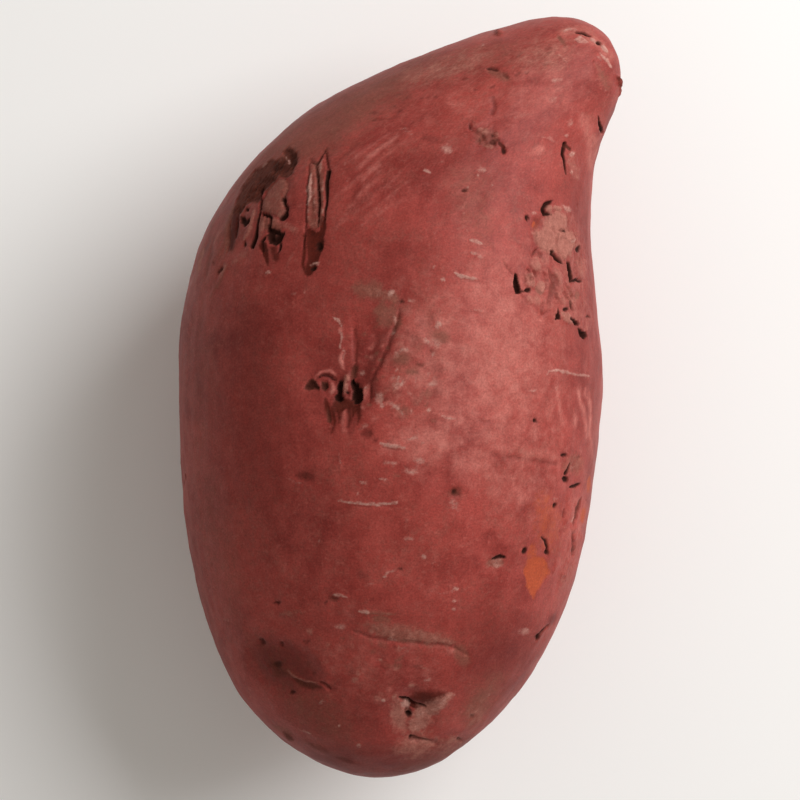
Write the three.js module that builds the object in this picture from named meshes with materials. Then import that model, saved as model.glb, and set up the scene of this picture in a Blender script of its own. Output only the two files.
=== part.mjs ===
// A sweet potato lying on its side: one storage root, thick and round at its tail end, that narrows
// into a neck bending to one side and ends in the blunt nub where it hung from the vine.
//
// Millimetres, +Z up. The root lies along +Y with its neck end at +Y and the neck bending towards +X.
// The origin is on the surface that it rests on, under the middle of its bounding box.
import * as THREE from "three";
import { mergeVertices } from "three/addons/utils/BufferGeometryUtils.js";

// Driving dimensions
const LENGTH = 140; // over all, tail to nub; the finished shape is scaled to it
const REST_DEPTH = 0.9; // how deep the belly is pressed flat where the root lies
const GRID = 20; // quads along each edge of the cube that the root is shaped from
const CURVE_STEPS = 440; // samples of each smooth curve through GIRTH
const SKIN_COLOUR = 0x9c4a44;

// The root's middle line as a share of LENGTH: sideways, along and up from its thickest stretch.
const MIDDLE_LINE = [
  [-0.035, -0.503, 0.022],
  [-0.018, -0.267, 0.002],
  [-0.006, -0.045, 0.0],
  [0.039, 0.166, 0.006],
  [0.143, 0.337, 0.026],
  [0.269, 0.461, 0.054],
];

// How far the skin stands from the middle line, in millimetres, at shares of that line's length. Each
// row is what the section would measure at the middle of the root; towards both ends it is taken in as
// a ball is.
const GIRTH = [
  { at: 0.0, left: 44.0, right: 40.0, up: 36.0, down: 33.0 },
  { at: 0.1, left: 43.0, right: 39.8, up: 36.5, down: 34.5 },
  { at: 0.2, left: 40.7, right: 40.4, up: 36.5, down: 35.5 },
  { at: 0.35, left: 38.8, right: 39.3, up: 36.5, down: 35.5 },
  { at: 0.5, left: 40.7, right: 37.6, up: 36.0, down: 35.0 },
  { at: 0.6, left: 41.2, right: 36.2, up: 35.0, down: 33.5 },
  { at: 0.7, left: 37.0, right: 33.8, up: 32.5, down: 30.5 },
  { at: 0.8, left: 30.4, right: 27.8, up: 28.5, down: 27.5 },
  { at: 0.9, left: 24.0, right: 23.8, up: 24.5, down: 24.0 },
  { at: 0.96, left: 23.4, right: 26.0, up: 24.0, down: 24.5 },
  { at: 1.0, left: 24.0, right: 26.0, up: 24.0, down: 24.5 },
];

// Broad hollows (negative rise) and swellings of the skin: the share along the middle line, the angle
// round it (0 to the right, 90 on top), how far the shape reaches in millimetres, and its rise.
const UNEVENNESS = [
  { at: 0.49, angle: 106, reach: 8, rise: -1.3 }, // the dimple round the large bud scar
  { at: 0.58, angle: 97, reach: 9, rise: -0.7 }, // and the fold that leads up from it
  { at: 0.08, angle: 70, reach: 7, rise: -1.4 }, // the pit by the tail
  { at: 0.14, angle: 125, reach: 8, rise: -1.0 }, // the sunken patch beside it
  { at: 0.36, angle: 84, reach: 15, rise: 0.7 }, // the full top of the belly
  { at: 0.68, angle: 60, reach: 13, rise: 0.6 }, // the shoulder's crest
  { at: 0.76, angle: 130, reach: 10, rise: -0.5 },
  { at: 1.0, angle: 0, reach: 4, rise: -0.9 }, // the hollow end of the nub
  { at: 0.3, angle: 205, reach: 18, rise: 1.4 }, // the rounded ridge low on the left flank
  { at: 0.55, angle: 225, reach: 14, rise: -1.8 }, // and the furrow beside it
  { at: 0.2, angle: 240, reach: 12, rise: -0.8 },
  { at: 0.72, angle: 210, reach: 12, rise: 0.9 },
  { at: 0.6, angle: 305, reach: 15, rise: 1.3 }, // the ridge low on the right flank
  { at: 0.35, angle: 325, reach: 15, rise: -1.7 }, // and the flattened stretch beside it
  { at: 0.8, angle: 285, reach: 10, rise: -1.1 }, // the hollow under the neck
  { at: 0.13, angle: 300, reach: 9, rise: -0.8 },
];

// The middle line as a smooth curve through its points.
function middleCurve() {
  const points = MIDDLE_LINE.map(([x, y, z]) => new THREE.Vector3(x, y, z).multiplyScalar(LENGTH));
  return new THREE.CatmullRomCurve3(points, false, "centripetal");
}

// A smooth function of the share along the root through one column of GIRTH.
function girthOf(side) {
  const curve = new THREE.SplineCurve(GIRTH.map((row) => new THREE.Vector2(row.at, row[side])));
  const samples = curve.getPoints(CURVE_STEPS);
  return (at) => {
    const next = Math.max(1, samples.findIndex((p) => p.x >= at));
    const [before, after] = [samples[next - 1], samples[next]];
    const share = THREE.MathUtils.clamp((at - before.x) / (after.x - before.x), 0, 1);
    return THREE.MathUtils.lerp(before.y, after.y, share);
  };
}

// A ball of quads with no poles: a cube's faces, swelled to a sphere with even steps of angle.
function ballOfQuads() {
  const cube = new THREE.BoxGeometry(2, 2, 2, GRID, GRID, GRID);
  cube.deleteAttribute("normal");
  cube.deleteAttribute("uv");
  const ball = mergeVertices(cube, 1e-4);
  const place = ball.getAttribute("position");
  const spread = (x) => Math.tan((x * Math.PI) / 4);
  for (let i = 0; i < place.count; i++) {
    const p = new THREE.Vector3(spread(place.getX(i)), spread(place.getY(i)), spread(place.getZ(i)));
    p.normalize();
    place.setXYZ(i, p.x, p.y, p.z);
  }
  return ball;
}

// Carries a point of the unit ball to the root: its y picks the section, and its x and z the place round it.
function skinPlacer() {
  const middle = middleCurve();
  const [left, right, up, down] = ["left", "right", "up", "down"].map(girthOf);
  const upward = new THREE.Vector3(0, 0, 1);

  const plainSkin = (ball) => {
    const at = THREE.MathUtils.clamp((1 + ball.y) / 2, 0, 1);
    const centre = middle.getPointAt(at);
    const sideways = middle.getTangentAt(at).setZ(0).normalize().cross(upward);
    const across = ball.x * (ball.x > 0 ? right(at) : left(at));
    const rise = ball.z * (ball.z > 0 ? up(at) : down(at));
    const offset = sideways.multiplyScalar(across).addScaledVector(upward, rise);
    return { skin: centre.clone().add(offset), outward: offset.clone().normalize() };
  };
  const marks = UNEVENNESS.map(({ at, angle, reach, rise }) => {
    const y = 2 * at - 1;
    const round = Math.sqrt(1 - y * y);
    const turn = THREE.MathUtils.degToRad(angle);
    const { skin } = plainSkin(new THREE.Vector3(round * Math.cos(turn), y, round * Math.sin(turn)));
    return { skin, reach, rise };
  });

  return (ball) => {
    const { skin, outward } = plainSkin(ball);
    const height = marks.reduce((sum, mark) => {
      const far = skin.distanceTo(mark.skin) / mark.reach;
      return sum + mark.rise * Math.exp(-far * far);
    }, 0);
    return skin.addScaledVector(outward, height);
  };
}

// The root as one closed skin, scaled to LENGTH, pressed flat where it rests and centred over the origin.
function rootGeometry() {
  const root = ballOfQuads();
  const place = root.getAttribute("position");
  const placeOnSkin = skinPlacer();
  for (let i = 0; i < place.count; i++) {
    const p = placeOnSkin(new THREE.Vector3().fromBufferAttribute(place, i));
    place.setXYZ(i, p.x, p.y, p.z);
  }
  root.computeBoundingBox();
  const fit = LENGTH / root.boundingBox.getSize(new THREE.Vector3()).y;
  root.scale(fit, fit, fit);
  root.computeBoundingBox();
  const floor = root.boundingBox.min.z + REST_DEPTH;
  for (let i = 0; i < place.count; i++) place.setZ(i, Math.max(place.getZ(i), floor));
  root.computeBoundingBox();
  const middle = root.boundingBox.getCenter(new THREE.Vector3());
  root.translate(-middle.x, -middle.y, -floor);
  root.computeVertexNormals();
  return root;
}

const skin = new THREE.MeshStandardMaterial({ color: SKIN_COLOUR, roughness: 0.6, metalness: 0 });
const potato = new THREE.Mesh(rootGeometry(), skin);
potato.name = "sweet_potato";

const sweetPotato = new THREE.Group();
sweetPotato.add(potato);
export default sweetPotato;
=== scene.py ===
"""A raw sweet potato lying on its side on a pale floor, looked at from straight above.

The root's form and size are the frame's. The skin is that form cut finer, with every scar, split,
scab, bud and scratch sculpted into it, and with a procedural finish that reads where they are.
"""

import logging
import math
import random
from collections.abc import Callable, Iterable, Sequence
from dataclasses import dataclass, field, replace
from enum import Enum

import bmesh
import bpy
import numpy as np
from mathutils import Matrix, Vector, noise
from mathutils.bvhtree import BVHTree


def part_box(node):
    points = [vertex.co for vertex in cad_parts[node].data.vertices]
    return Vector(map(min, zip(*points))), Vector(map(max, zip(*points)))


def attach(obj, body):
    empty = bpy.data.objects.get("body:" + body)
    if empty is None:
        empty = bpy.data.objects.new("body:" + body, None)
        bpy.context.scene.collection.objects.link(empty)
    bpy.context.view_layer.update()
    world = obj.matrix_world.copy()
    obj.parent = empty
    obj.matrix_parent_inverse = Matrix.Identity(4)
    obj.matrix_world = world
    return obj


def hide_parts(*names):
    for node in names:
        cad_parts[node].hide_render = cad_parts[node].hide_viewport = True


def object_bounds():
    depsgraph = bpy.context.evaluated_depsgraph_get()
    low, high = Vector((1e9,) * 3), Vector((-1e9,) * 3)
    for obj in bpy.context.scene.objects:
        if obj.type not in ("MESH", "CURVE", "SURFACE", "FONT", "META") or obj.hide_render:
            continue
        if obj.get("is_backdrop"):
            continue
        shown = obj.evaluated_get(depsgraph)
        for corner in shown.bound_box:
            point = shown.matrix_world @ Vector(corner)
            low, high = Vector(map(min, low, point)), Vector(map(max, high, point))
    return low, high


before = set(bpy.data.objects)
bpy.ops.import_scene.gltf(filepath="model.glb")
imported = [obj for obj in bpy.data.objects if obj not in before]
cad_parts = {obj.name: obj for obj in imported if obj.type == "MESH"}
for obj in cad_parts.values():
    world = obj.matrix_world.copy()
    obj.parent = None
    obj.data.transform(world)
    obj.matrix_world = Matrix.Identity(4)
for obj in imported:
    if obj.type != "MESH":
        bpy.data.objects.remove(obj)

CAD_NODE = "sweet_potato"
CAD_BODY = "root"
MM = 0.001
LOG = logging.getLogger("sweet_potato")

Point = tuple[float, float]
Color = tuple[float, float, float, float]


def tone(red: int, green: int, blue: int) -> Color:
    """A colour from its display values.

    Args:
        red, green, blue: from 0 to 255.
    Returns:
        The same colour in scene-linear values, opaque.
    """

    def linear(value: int) -> float:
        """One channel in scene-linear values."""
        share = value / 255
        return share / 12.92 if share <= 0.04045 else ((share + 0.055) / 1.055) ** 2.4

    return (linear(red), linear(green), linear(blue), 1.0)


class Tint(Enum):
    """What a mark does to the skin's finish. The value names the attribute that carries it."""

    PIT = "pit"  # the near-black bottom of a hole or crack
    CRUST = "crust"  # torn, dried, dark brown tissue
    RUST = "rust"  # tissue gone dark rusty red
    CORK = "cork"  # tan scab that healed over
    CHALK = "chalk"  # dry, pale scratches and fibres
    FLESH = "flesh"  # skin rubbed through to the orange flesh
    SCURF = "scurf"  # a thin grey-brown film
    BLOOM = "bloom"  # pale, dusty mottling; its broad washes also paint sheen where the lamp falls brightest
    SHADE = "shade"  # deeper, duller red; its broad washes also paint shade where less light falls


PIT, CRUST, RUST, CORK, CHALK, FLESH, SCURF, BLOOM, SHADE = Tint


class Taper(Enum):
    """How a drawn line thins."""

    NONE = "none"
    BOTH = "both ends"
    END = "towards its last point"


# --------------------------------------------------------------------------------------------------
# Charts and marks
# --------------------------------------------------------------------------------------------------


@dataclass(frozen=True)
class Chart:
    """A flat sheet over the skin that marks are drawn on, in millimetres from its origin.

    The sheet is looked at from the eye, or from straight above where there is none.
    """

    origin: Vector
    across: Vector
    along: Vector
    eye: Vector | None = None
    reach: float = 1e9
    turning: float = 0.2  # the cosine up to which marks fade where the skin turns away
    edge: float = 0.25  # the cosine that a sheet with no eye starts from

    def lay(self, points: np.ndarray, normals: np.ndarray) -> tuple[np.ndarray, np.ndarray]:
        """Finds where points of the skin are on the sheet.

        Args:
            points: the skin's points, in millimetres.
            normals: the skin's outward directions there.
        Returns:
            Each point's place on the sheet, and how much it is drawn on: 1 where it faces the sheet from
            near enough, and down to 0 where it turns away.
        """
        up = np.array(self.across.cross(self.along))
        origin = np.array(self.origin)
        offset = points - origin
        facing = normals @ up - self.edge
        if self.eye is not None:
            eye = np.array(self.eye)
            sight = points - eye
            share = ((origin - eye) @ up) / (sight @ up)
            offset = eye + sight * share[:, None] - origin
            facing = -(normals * sight).sum(axis=1) / np.linalg.norm(sight, axis=1)
        near = np.linalg.norm(points - origin, axis=1) < self.reach
        place = np.stack([offset @ np.array(self.across), offset @ np.array(self.along)], axis=1)
        return place, np.clip(facing / self.turning, 0, 1) * near


@dataclass(frozen=True)
class Mark:
    """One mark on the skin: a line through its points, or with no width the area that they enclose.

    Lengths are in millimetres. Each tint is given with its strength, from 0 to 1.
    """

    points: tuple[Point, ...]
    tints: dict[Tint, float]
    width: float = 0.0
    depth: float = 0.0  # below the skin; a negative depth stands proud of it
    slope: float = 0.4  # over which a filled mark comes down to its depth
    fade: float = 0.15  # how far the edge fades, each way
    lip: float = 0.0  # the height of a raised rim
    rough: float = 0.0  # the height of the ragged relief inside it
    ragged: float = 1.0  # how far the outline strays, as a share of the usual
    taper: Taper = Taper.NONE
    fineness: int = 2  # how often the skin is cut finer round it

    THINNEST = 0.02  # share of a tapering line's width that is left at its ends
    RIM_PLACE = 0.2  # millimetres that a raised rim is outside the edge
    RIM_WIDTH = 0.25

    def distance(self, place: np.ndarray) -> np.ndarray:
        """How far places on the chart are outside the mark's edge, and with a minus sign inside it."""
        corners = np.array(self.points, float)
        closed = self.width == 0
        ends = np.roll(corners, -1, axis=0) if closed else corners[1:]
        starts = corners if closed else corners[:-1]
        runs = np.linalg.norm(ends - starts, axis=1)
        before = np.concatenate([[0], np.cumsum(runs)])
        best = np.full(len(place), np.inf)
        share = np.zeros(len(place))
        inside = np.zeros(len(place), bool)
        for i, (start, end) in enumerate(zip(starts, ends)):
            step = end - start
            along = np.clip(((place - start) @ step) / max(runs[i] ** 2, 1e-12), 0, 1)
            far = np.linalg.norm(place - start - along[:, None] * step, axis=1)
            nearer = far < best
            best = np.where(nearer, far, best)
            share = np.where(nearer, (before[i] + along * runs[i]) / before[-1], share)
            crosses = (start[1] > place[:, 1]) != (end[1] > place[:, 1])
            rise = step[1] if step[1] else 1e-12
            inside ^= crosses & (place[:, 0] < start[0] + (place[:, 1] - start[1]) * step[0] / rise)
        if closed:
            return np.where(inside, -best, best)
        return best - self.width / 2 * self._thinning(share)

    def _thinning(self, share: np.ndarray) -> np.ndarray:
        """The line's width at shares of its length, as a share of its full width."""
        if self.taper is Taper.BOTH:
            return np.clip(4 * share * (1 - share), self.THINNEST, 1) ** 0.45
        if self.taper is Taper.END:
            return np.clip(1 - share, self.THINNEST, 1) ** 0.6
        return np.ones_like(share)

    def cover(self, distance: np.ndarray) -> np.ndarray:
        """How much of the mark is at that distance: 1 well inside, a half on its edge and 0 outside."""
        return np.clip(0.5 - distance / (2 * self.fade), 0, 1)

    def height(self, distance: np.ndarray, ragged: np.ndarray) -> np.ndarray:
        """The relief that the mark gives the skin.

        Args:
            distance: from the mark's edge, in millimetres.
            ragged: a noise from -1 to 1 at the same places.
        Returns:
            Heights over the plain skin, in millimetres.
        """
        slope = self.width / 2 if self.width else self.slope
        sunk = np.clip((self.fade / 2 - distance) / slope, 0, 1)
        sunk = sunk * sunk * (3 - 2 * sunk)
        rim = np.exp(-(((distance - self.RIM_PLACE) / self.RIM_WIDTH) ** 2))
        return self.lip * rim - self.depth * sunk + self.rough * ragged * self.cover(distance)


def each(maker: Callable[..., Mark], *rows: tuple) -> list[Mark]:
    """One mark from each row of the maker's arguments."""
    return [maker(*row) for row in rows]


def stroke(
    points: Sequence[Point], tints: dict[Tint, float], width: float, depth: float = 0.0, **more: float
) -> Mark:
    """A line that thins towards both ends, with any more of a mark's sizes by name."""
    return Mark(points, tints, width, depth, taper=Taper.BOTH, **more)


def crack(points: Sequence[Point], width: float = 0.5, depth: float = 0.5, dark: float = 0.85) -> Mark:
    """A narrow split with a dark bottom, which thins towards both ends."""
    return stroke(points, {PIT: dark}, width, depth, fade=0.2, lip=0.03)


def slit(points: Sequence[Point], width: float = 0.7, depth: float = 0.7) -> Mark:
    """A split that is wide at its start and thins towards its end."""
    return Mark(points, {PIT: 0.95}, width, depth, fade=0.2, taper=Taper.END, lip=0.03)


def oval(
    x: float, y: float, rx: float, ry: float, turn: float = 0.0, sides: int = 14
) -> tuple[Point, ...]:
    """An oval outline.

    Args:
        x, y: its middle.
        rx, ry: its half-widths before it is turned.
        turn: by how many degrees it is turned.
        sides: how many points it has.
    Returns:
        The outline's points.
    """
    c, s = math.cos(math.radians(turn)), math.sin(math.radians(turn))
    steps = [2 * math.pi * i / sides for i in range(sides)]
    ring = [(rx * math.cos(a), ry * math.sin(a)) for a in steps]
    return tuple((x + u * c - v * s, y + u * s + v * c) for u, v in ring)


def hole(x: float, y: float, rx: float, ry: float, turn: float = 0.0, dark: float = 0.8) -> Mark:
    """A small dark hole."""
    low = min(rx, ry)
    outline = oval(x, y, rx, ry, turn)
    return Mark(outline, {PIT: dark}, depth=(0.9 * low + 0.1) * dark, slope=low, fade=0.25, ragged=1.8)


def gap(points: Sequence[Point], depth: float = 0.8, dark: float = 1.0) -> Mark:
    """A hole with an outline of its own."""
    tints = {PIT: dark, CRUST: 1.0}
    return Mark(points, tints, depth=depth, slope=0.4, fade=0.22, lip=0.03, ragged=1.4)


def plate(
    points: Sequence[Point], proud: float = 0.16, strength: float = 1.0, rough: float = 0.05
) -> Mark:
    """A raised piece of tan scab."""
    return Mark(points, {CORK: strength}, depth=-proud, slope=0.4, rough=rough, fade=0.3, ragged=2.0)


def fold(points: Sequence[Point], width: float = 0.45, depth: float = 0.22, strength: float = 0.8) -> Mark:
    """A dark red crease."""
    tints = {SHADE: strength, RUST: 0.35 * strength}
    return stroke(points, tints, width, depth, fade=0.3, lip=0.04)


def knob(x: float, y: float, rx: float, ry: float, turn: float = 0.0, strength: float = 0.7) -> Mark:
    """A small pale lump."""
    low = min(rx, ry)
    outline = oval(x, y, rx, ry, turn, 9)
    return Mark(outline, {CORK: strength}, depth=-0.35 * low, slope=low, fade=0.35, ragged=2)


def fleck(points: Sequence[Point], width: float = 0.45, strength: float = 0.8, proud: float = 0.05) -> Mark:
    """A dry, pale line or dot."""
    return stroke(points, {CHALK: strength}, width, -proud, fade=0.18, ragged=1 + width)


def dot(x: float, y: float, size: float, strength: float = 0.7) -> Mark:
    """A pale speck."""
    return fleck(((x - size / 2, y), (x + size / 2, y + 0.02)), size, strength)


def smear(x: float, y: float, rx: float, ry: float, turn: float, tint: Tint, strength: float) -> Mark:
    """A small soft stain with no relief to speak of."""
    soft = 0.6 * min(rx, ry)
    return Mark(oval(x, y, rx, ry, turn), {tint: strength}, fade=soft, slope=soft, fineness=1)


def wash(
    x: float, y: float, rx: float, ry: float, turn: float, tint: Tint, strength: float, depth: float = 0.0
) -> Mark:
    """A broad stain that fades over most of its width."""
    soft = 0.7 * min(rx, ry)
    return Mark(oval(x, y, rx, ry, turn), {tint: strength}, depth=depth, fade=soft, slope=soft, fineness=0)


@dataclass(frozen=True)
class MarkGroup:
    """Marks that belong together, drawn from one anchor on a chart."""

    name: str
    chart: Chart
    anchor: Point
    marks: Sequence[Mark]


class Drawing:
    """All the mark groups, and what they make of the skin."""

    STRAY_COARSE = 0.16  # millimetres that outlines stray by, in waves of COARSE millimetres
    STRAY_FINE = 0.09  # and in waves of FINE millimetres
    COARSE = 2.0
    FINE = 0.55
    LUMPS = 0.7  # millimetres between a ragged relief's lumps
    CRUMBS = 0.3  # and between the smaller ones, half as high
    CLEARING = 0.6  # the share of a dark hollow that tissue over it hides
    MARGIN = 1.6  # millimetres beyond a mark's box that are still looked at
    SEED = 7  # of the noise that outlines stray by

    def __init__(self, groups: Iterable[MarkGroup]) -> None:
        """Keeps the groups in the order in which they lie over each other."""
        self.groups = list(groups)
        noise.seed_set(self.SEED)

    def _visits(
        self, points: np.ndarray, normals: np.ndarray
    ) -> Iterable[tuple[Mark, np.ndarray, np.ndarray, np.ndarray]]:
        """Goes through the marks.

        Args:
            points, normals: of the skin.
        Yields:
            Each mark, the indexes of the points near it, their distances from its edge, and how much
            they are drawn on.
        """
        stray = self._stray(points)
        laid: dict[int, tuple[np.ndarray, np.ndarray, np.ndarray]] = {}
        for group in self.groups:
            if id(group.chart) not in laid:
                place, share = group.chart.lay(points, normals)
                facing = np.flatnonzero(share)
                laid[id(group.chart)] = (place[facing], facing, share[facing])
            place, facing, share = laid[id(group.chart)]
            for mark in group.marks:
                corners = np.array(mark.points) + group.anchor
                margin = self.MARGIN + mark.width / 2 + mark.fade
                low, high = corners.min(axis=0) - margin, corners.max(axis=0) + margin
                near = ((place > low) & (place < high)).all(axis=1)
                if near.any():
                    found = facing[near]
                    local = place[near] - group.anchor + stray[found] * mark.ragged
                    yield mark, found, mark.distance(local), share[near]

    def _stray(self, points: np.ndarray) -> np.ndarray:
        """How far outlines stray at each point, across and along a chart, in millimetres."""
        moved = np.zeros((len(points), 2))
        for i, place in enumerate(points):
            coarse = noise.noise_vector(Vector(place) / self.COARSE)
            fine = noise.noise_vector(Vector(place) / self.FINE)
            moved[i, 0] = coarse.x * self.STRAY_COARSE + fine.x * self.STRAY_FINE
            moved[i, 1] = coarse.y * self.STRAY_COARSE + fine.y * self.STRAY_FINE
        return moved

    def beyond(self, points: np.ndarray, normals: np.ndarray, fineness: int) -> np.ndarray:
        """How far each point is from the nearest mark that needs this fineness, in millimetres."""
        nearest = np.full(len(points), np.inf)
        for mark, found, distance, _ in self._visits(points, normals):
            if mark.fineness >= fineness:
                far = np.abs(distance) if fineness > 1 and not mark.width else distance
                nearest[found] = np.minimum(nearest[found], far)
        return nearest

    def relief(self, points: np.ndarray, normals: np.ndarray) -> tuple[np.ndarray, dict[Tint, np.ndarray]]:
        """Works out the skin's relief and tints.

        Args:
            points, normals: of the skin.
        Returns:
            Heights in millimetres, and each tint's strength.
        """
        height = np.zeros(len(points))
        tints = {tint: np.zeros(len(points)) for tint in Tint}
        places = [Vector(point) for point in points]
        ragged = np.array(
            [noise.noise(p / self.LUMPS) + 0.5 * noise.noise(p / self.CRUMBS) for p in places]
        )
        for mark, found, distance, share in self._visits(points, normals):
            height[found] += mark.height(distance, ragged[found]) * share
            cover = mark.cover(distance) * share
            for tint, strength in mark.tints.items():
                if tint is not PIT and PIT not in mark.tints and mark.fineness == 2:
                    tints[PIT][found] *= 1 - self.CLEARING * cover
                tints[tint][found] = np.maximum(tints[tint][found], strength * cover)
        return height, tints


# --------------------------------------------------------------------------------------------------
# The scars, scabs and buds
# --------------------------------------------------------------------------------------------------


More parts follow.
